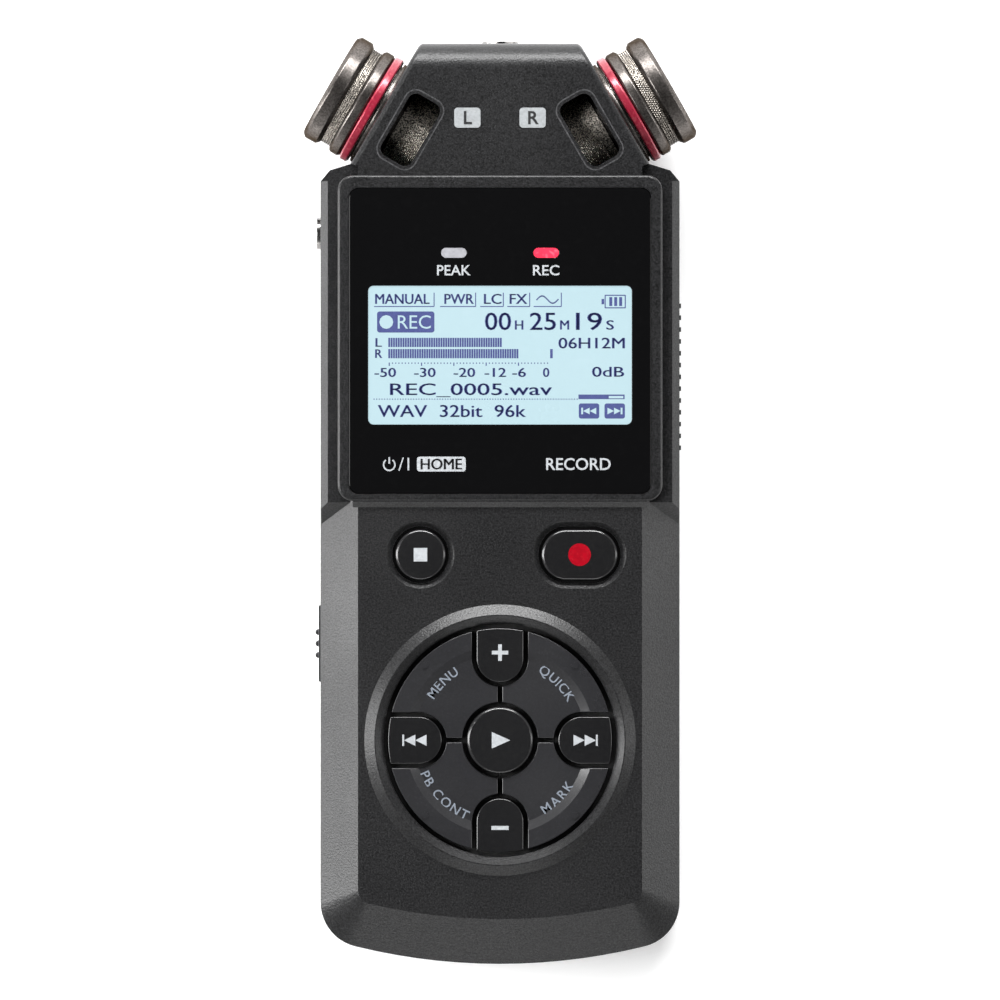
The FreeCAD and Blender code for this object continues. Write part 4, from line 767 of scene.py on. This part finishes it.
# Marks on the keys, measured from the middle of each key or of the pad
keySigns = {
    "sunk": 0.005, "thick": 0.03, "stop": 2.05, "record": 1.72, "playBack": 1.25, "playTip": 1.55,
    "plusFar": 1.25, "plusNear": 0.28, "minus": (2.6, 0.6), "upDown": 13.3, "sideways": 12.0, "skip": 1.7,
}
padMid = boxOf("key_play")[2]
stopMid = boxOf("key_stop")[2]
recordMid = boxOf("key_record")[2]


def keyTop(name):
    return boxOf(name)[1].z


def drawStop(art, low, high):
    art.bar(stopMid.x, stopMid.y, keySigns["stop"], keySigns["stop"], low, high)


def drawRecord(art, low, high):
    art.disc(recordMid.x, recordMid.y, keySigns["record"], low, high)


def drawPlay(art, low, high):
    back, tip = padMid.x - keySigns["playBack"], padMid.x + keySigns["playTip"]
    half = keySigns["playBack"]
    art.shape([(back, padMid.y - half), (tip, padMid.y), (back, padMid.y + half)], low, high)


def drawPlus(art, low, high):
    far, near = keySigns["plusFar"], keySigns["plusNear"]
    arm = [(near, near), (near, far), (-near, far)]
    quarters = [(1, 0, 0, 1), (0, -1, 1, 0), (-1, 0, 0, -1), (0, 1, -1, 0)]
    points = [(a * x + b * y, c * x + d * y) for a, b, c, d in quarters for x, y in arm]
    art.shape([(padMid.x + x, padMid.y + keySigns["upDown"] + y) for x, y in points], low, high)


def drawMinus(art, low, high):
    art.bar(padMid.x, padMid.y - keySigns["upDown"], *keySigns["minus"], low, high)


def drawNext(art, low, high):
    skipSign(art, padMid.x + keySigns["sideways"], padMid.y, keySigns["skip"], 1, low, high)


def drawPrevious(art, low, high):
    skipSign(art, padMid.x - keySigns["sideways"], padMid.y, keySigns["skip"], -1, low, high)


keyMarks = {
    "key_stop": (drawStop, "printGrey", "tag_grey"), "key_record": (drawRecord, "printRed", "lamp_red"),
    "key_play": (drawPlay, "printGrey", "tag_grey"), "key_plus": (drawPlus, "printGrey", "tag_grey"),
    "key_minus": (drawMinus, "printGrey", "tag_grey"), "key_next": (drawNext, "printGrey", "tag_grey"),
    "key_previous": (drawPrevious, "printGrey", "tag_grey"),
}
for name, (draw, finish, slotName) in keyMarks.items():
    art = Marks()
    level = keyTop(name) - keySigns["sunk"]
    draw(art, level, level + keySigns["thick"])
    art.finish(name + "Mark", name, slotName, finish)

# Words and dots on the four quarter keys, with the heading of each in degrees
quarterLabels = {
    "key_menu": ("MENU", 135), "key_quick": ("QUICK", 45),
    "key_playback": ("PB CONT", 225), "key_mark": ("MARK", 315),
}
quarterLook = {
    "radius": 12.5, "tall": 1.45, "between": 0.32, "space": 0.75, "dishDrop": 0.44, "thick": 0.03,
    "bold": 0.008,
    "dotRadius": 16.1, "dotSize": 0.5, "dotSunk": 0.05, "dotProud": 0.18,
}


def drawQuarter(name, text, around):
    heading = math.radians(around)
    radius, tall, between = quarterLook["radius"], quarterLook["tall"], quarterLook["between"]
    art = Marks()
    low = keyTop(name) - quarterLook["dishDrop"]
    turnSign = -1 if around < 180 else 1  # letters read left to right above the middle and below it
    steps = []
    for letter in text:
        if letter == " ":
            steps.append(quarterLook["space"])
        else:
            steps.append(measureText(letter, 0) * tall / capHeight + between)
    angle = heading - turnSign * sum(steps) / 2 / radius
    for letter, step in zip(text, steps):
        angle += turnSign * step / 2 / radius
        x = padMid.x + radius * math.cos(angle)
        y = padMid.y + radius * math.sin(angle)
        if letter != " ":
            lean = angle + turnSign * math.pi / 2
            high = low + quarterLook["thick"]
            art.words(letter, x, y, tall, low, high, turn=lean, wide=step - between, bold=quarterLook["bold"])
        angle += turnSign * step / 2 / radius
    art.finish(name + "Mark", name, "tag_grey", "printDim")
    dot = Marks()
    x = padMid.x + quarterLook["dotRadius"] * math.cos(heading)
    y = padMid.y + quarterLook["dotRadius"] * math.sin(heading)
    dotLow, dotHigh = keyTop(name) - quarterLook["dotSunk"], keyTop(name) + quarterLook["dotProud"]
    dot.disc(x, y, quarterLook["dotSize"], dotLow, dotHigh, 16)
    dot.finish(name + "Dot", name, "key_satin", "keySatin")


for name, (text, around) in quarterLabels.items():
    drawQuarter(name, text, around)
print("marks printed")


def calc(tree, operation, first, second=None):
    made = node(tree, "ShaderNodeMath", operation=operation)
    feed(tree, first, made.inputs[0])
    if second is not None:
        feed(tree, second, made.inputs[1])
    return made.outputs[0]


def gridOf(tree, sizeX, sizeY, countX, countY):
    grid = node(tree, "GeometryNodeMeshGrid")
    sizes = {"Size X": sizeX, "Size Y": sizeY, "Vertices X": countX, "Vertices Y": countY}
    for label, value in sizes.items():
        feed(tree, value, grid.inputs[label])
    place = node(tree, "GeometryNodeInputPosition")
    parts = node(tree, "ShaderNodeSeparateXYZ")
    link(tree, place.outputs[0], parts.inputs[0])
    return grid.outputs["Mesh"], parts.outputs


# Every tree ends in real geometry with a material
def endTree(tree, shape, out):
    real = node(tree, "GeometryNodeRealizeInstances")
    link(tree, shape, real.inputs[0])
    paintOn = node(tree, "GeometryNodeSetMaterial")
    paintOn.inputs["Material"].default_value = finishes["wireSteel"]
    link(tree, real.outputs[0], paintOn.inputs[0])
    link(tree, paintOn.outputs[0], out.inputs[0])


# Rows of small studs around a tube, every other row shifted by half a step
def buildKnurlTree():
    tree, given, out = newTree(
        "GeometryNodeTree",
        "knurledTube",
        [
            ("Radius", "NodeSocketFloat", 0.008),
            ("Length", "NodeSocketFloat", 0.0015),
            ("Around", "NodeSocketInt", 60),
            ("Rows", "NodeSocketInt", 3),
            ("Stud", "NodeSocketFloat", 0.0003),
        ],
        [("Geometry", "NodeSocketGeometry")],
    )
    values = given.outputs
    grid, parts = gridOf(tree, 1.0, values["Length"], values["Around"], values["Rows"])
    index = node(tree, "GeometryNodeInputIndex")
    row = calc(tree, "MODULO", index.outputs[0], values["Rows"])
    odd = calc(tree, "MODULO", row, 2.0)
    shift = calc(tree, "DIVIDE", odd, calc(tree, "MULTIPLY", values["Around"], 2.0))
    share = calc(tree, "ADD", parts[0], shift)
    squeeze = calc(tree, "DIVIDE", calc(tree, "SUBTRACT", values["Around"], 1.0), values["Around"])
    angle = calc(tree, "MULTIPLY", calc(tree, "MULTIPLY", share, squeeze), 2 * math.pi)
    spot = node(tree, "ShaderNodeCombineXYZ")
    link(tree, calc(tree, "MULTIPLY", calc(tree, "COSINE", angle), values["Radius"]), spot.inputs[0])
    link(tree, calc(tree, "MULTIPLY", calc(tree, "SINE", angle), values["Radius"]), spot.inputs[1])
    link(tree, parts[1], spot.inputs[2])
    wrap = node(tree, "GeometryNodeSetPosition")
    link(tree, grid, wrap.inputs["Geometry"])
    link(tree, spot.outputs[0], wrap.inputs["Position"])
    stud = node(tree, "GeometryNodeMeshIcoSphere")
    stud.inputs["Subdivisions"].default_value = 1
    link(tree, values["Stud"], stud.inputs["Radius"])
    scatter = node(tree, "GeometryNodeInstanceOnPoints")
    link(tree, wrap.outputs[0], scatter.inputs["Points"])
    link(tree, stud.outputs["Mesh"], scatter.inputs["Instance"])
    endTree(tree, scatter.outputs[0], out)
    return tree


# Crossed wires cut to a disc and domed
def buildWeaveTree():
    tree, given, out = newTree(
        "GeometryNodeTree",
        "wovenGrille",
        [
            ("Radius", "NodeSocketFloat", 0.007),
            ("Wires", "NodeSocketInt", 24),
            ("Wire", "NodeSocketFloat", 0.0001),
            ("Dome", "NodeSocketFloat", 0.001),
        ],
        [("Geometry", "NodeSocketGeometry")],
    )
    values = given.outputs
    span = calc(tree, "MULTIPLY", values["Radius"], 2.0)
    grid, parts = gridOf(tree, span, span, values["Wires"], values["Wires"])
    across = calc(tree, "ADD", calc(tree, "POWER", parts[0], 2.0), calc(tree, "POWER", parts[1], 2.0))
    reach = calc(tree, "POWER", values["Radius"], 2.0)
    trim = node(tree, "GeometryNodeDeleteGeometry", domain="POINT")
    link(tree, grid, trim.inputs["Geometry"])
    link(tree, calc(tree, "GREATER_THAN", across, reach), trim.inputs["Selection"])
    share = calc(tree, "SUBTRACT", 1.0, calc(tree, "DIVIDE", across, reach))
    offset = node(tree, "ShaderNodeCombineXYZ")
    link(tree, calc(tree, "MULTIPLY", values["Dome"], share), offset.inputs[2])
    dome = node(tree, "GeometryNodeSetPosition")
    link(tree, trim.outputs[0], dome.inputs["Geometry"])
    link(tree, offset.outputs[0], dome.inputs["Offset"])
    lines = node(tree, "GeometryNodeMeshToCurve")
    link(tree, dome.outputs[0], lines.inputs["Mesh"])
    ring = node(tree, "GeometryNodeCurvePrimitiveCircle", mode="RADIUS")
    ring.inputs["Resolution"].default_value = 5
    link(tree, values["Wire"], ring.inputs["Radius"])
    tube = node(tree, "GeometryNodeCurveToMesh")
    link(tree, lines.outputs[0], tube.inputs["Curve"])
    link(tree, ring.outputs[0], tube.inputs["Profile Curve"])
    endTree(tree, tube.outputs[0], out)
    return tree


def grow(name, tree, values, place, finish):
    holder = addObject(name, bpy.data.meshes.new(name))
    modifier = holder.modifiers.new("grow", "NODES")
    modifier.node_group = tree
    for item in tree.interface.items_tree:
        if item.in_out == "INPUT" and item.name in values:
            modifier[item.identifier] = values[item.name]
    mesh = takeMesh(holder)
    mesh.transform(place)
    mesh.name = name
    return newPiece(name, mesh, "chassis", finish)


knurlTree = buildKnurlTree()
weaveTree = buildWeaveTree()
micTilt = math.radians(30.0)  # how far the microphones lean towards the head

# Values of the trees for one microphone, in metres where they are lengths
neckLook = {"Radius": 7.95 * mm, "Length": 1.3 * mm, "Around": 130, "Rows": 5, "Stud": 0.17 * mm}
barrelLook = {"Radius": 6.8 * mm, "Length": 6.2 * mm, "Around": 150, "Rows": 22, "Stud": 0.14 * mm}
weaveLook = {"Radius": 7.15 * mm, "Wires": 26, "Wire": 0.09 * mm, "Dome": 1.2 * mm}
barrelSink = -2.2  # along the microphone from the middle of its node
weaveSink = -0.4


# Turn and place whose Z runs out of the microphone, found from the rings' own boxes
def micPlace(name, side, along=0.0):
    out = Vector((side * math.cos(micTilt), math.sin(micTilt), 0))
    turn = Vector((0, 0, 1)).rotation_difference(out).to_matrix().to_4x4()
    return Matrix.Translation(boxOf(name)[2] * mm) @ turn @ Matrix.Translation((0, 0, along * mm))


# Narrow ring laid around each opening in the head; its pale colour is a painted highlight standing in for the
# lit rounded edge of the opening
rimHighlightLook = {
    "wide": 6.6, "long": 12.05, "corner": 1.9, "width": 0.2, "proud": 0.03, "deep": 0.1, "tagRise": 0.1,
    "fromMesh": -10.385,
}


def buildRimHighlight(name, side):
    level = boxOf("channel_plates")[1].z - rimHighlightLook["tagRise"]
    spot = micPlace(name + "_mic_mesh", side, rimHighlightLook["fromMesh"]).translation / mm
    lean = Matrix.Rotation(side * micTilt, 2)
    loops = []
    for inset in (0.0, rimHighlightLook["width"]):
        corners = roundedCorners(
            0, 0, rimHighlightLook["wide"] - 2 * inset, rimHighlightLook["long"] - 2 * inset, rimHighlightLook["corner"] - inset
        )
        placed = [lean @ Vector(corner) for corner in corners]
        loops.append([(spot.x + at.x, spot.y + at.y) for at in placed])
    work = bmesh.new()
    loopsToPlate(work, loops, level - rimHighlightLook["deep"], level + rimHighlightLook["proud"])
    # The ring's pale finish is a painted highlight, not the case's own colour
    newPiece(name + "PortRimHighlight", fromBmesh(name + "PortRimHighlight", work), "chassis", "rimHighlightCharcoal")


for side, name in ((-1, "left"), (1, "right")):
    buildRimHighlight(name, side)
    grow(name + "NeckKnurl", knurlTree, neckLook, micPlace(name + "_mic_mesh", side), "wireSteel")
    barrel = micPlace(name + "_mic_barrel", side, barrelSink)
    grow(name + "BarrelKnurl", knurlTree, barrelLook, barrel, "grilleSteel")
    front = micPlace(name + "_mic_grille", side, weaveSink)
    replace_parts(grow(name + "WovenGrille", weaveTree, weaveLook, front, "wireSteel"), name + "_mic_grille")
print("microphones dressed")

stageLook = {"floor": 1.6, "drop": 0.0002, "pale": (0.86, 0.86, 0.86), "rough": 0.9, "glow": 0.3}
floorWork = bmesh.new()
bmesh.ops.create_grid(floorWork, x_segments=1, y_segments=1, size=stageLook["floor"] / 2)
floorMesh = fromBmesh("floor", floorWork)
floor = addObject("floor", floorMesh)
floor.location = (0, 0, -stageLook["drop"])
floorFinish, floorShader = startMaterial("paleFloor")
floorShader.inputs["Base Color"].default_value = (*stageLook["pale"], 1)
floorShader.inputs["Roughness"].default_value = stageLook["rough"]
floorShader.inputs["Emission Color"].default_value = (1, 1, 1, 1)
floorShader.inputs["Emission Strength"].default_value = stageLook["glow"]
floorMesh.materials.append(floorFinish)

# Soft panels around the recorder, each turned to a point just above the floor
lightAim = Vector((0, 0, 0.01))
softLights = {
    "leftPanel": {"place": (-0.75, 0.02, 0.42), "size": (0.30, 1.3), "power": 15.0},
    "rightPanel": {"place": (0.80, 0.0, 0.40), "size": (0.22, 1.2), "power": 2.8},
    "headPanel": {"place": (0.0, 0.85, 0.50), "size": (0.9, 0.22), "power": 22.0},
    "footPanel": {"place": (0.0, -1.0, 0.24), "size": (0.9, 0.2), "power": 2.4},
}
for name, look in softLights.items():
    lamp = bpy.data.lights.new(name, "AREA")
    lamp.shape = "RECTANGLE"
    lamp.size, lamp.size_y = look["size"]
    lamp.energy = look["power"]
    holder = addObject(name, lamp)
    holder.location = look["place"]
    holder.visible_camera = False
    holder.rotation_euler = (lightAim - Vector(look["place"])).to_track_quat("-Z", "Y").to_euler()

# Sky that darkens towards the top, so that flat faces reflect little
skyLook = {
    "paleFrom": 0.25, "pale": (0.95, 0.95, 0.95, 1), "darkFrom": 0.93, "dark": (0.07, 0.07, 0.07, 1),
    "power": 0.8,
}
world = bpy.data.worlds.new("studio")
bpy.context.scene.world = world
world.use_nodes = True
sky = world.node_tree
background = sky.nodes["Background"]
direction = node(sky, "ShaderNodeTexCoord")
split = node(sky, "ShaderNodeSeparateXYZ")
link(sky, direction.outputs["Generated"], split.inputs[0])
ramp = node(sky, "ShaderNodeValToRGB")
paleEnd, darkEnd = ramp.color_ramp.elements
paleEnd.position = skyLook["paleFrom"]
paleEnd.color = skyLook["pale"]
darkEnd.position = skyLook["darkFrom"]
darkEnd.color = skyLook["dark"]
link(sky, split.outputs[2], ramp.inputs[0])
link(sky, ramp.outputs[0], background.inputs["Color"])
background.inputs["Strength"].default_value = skyLook["power"]
bpy.context.scene.view_settings.view_transform = "Standard"
print("light and stage set")
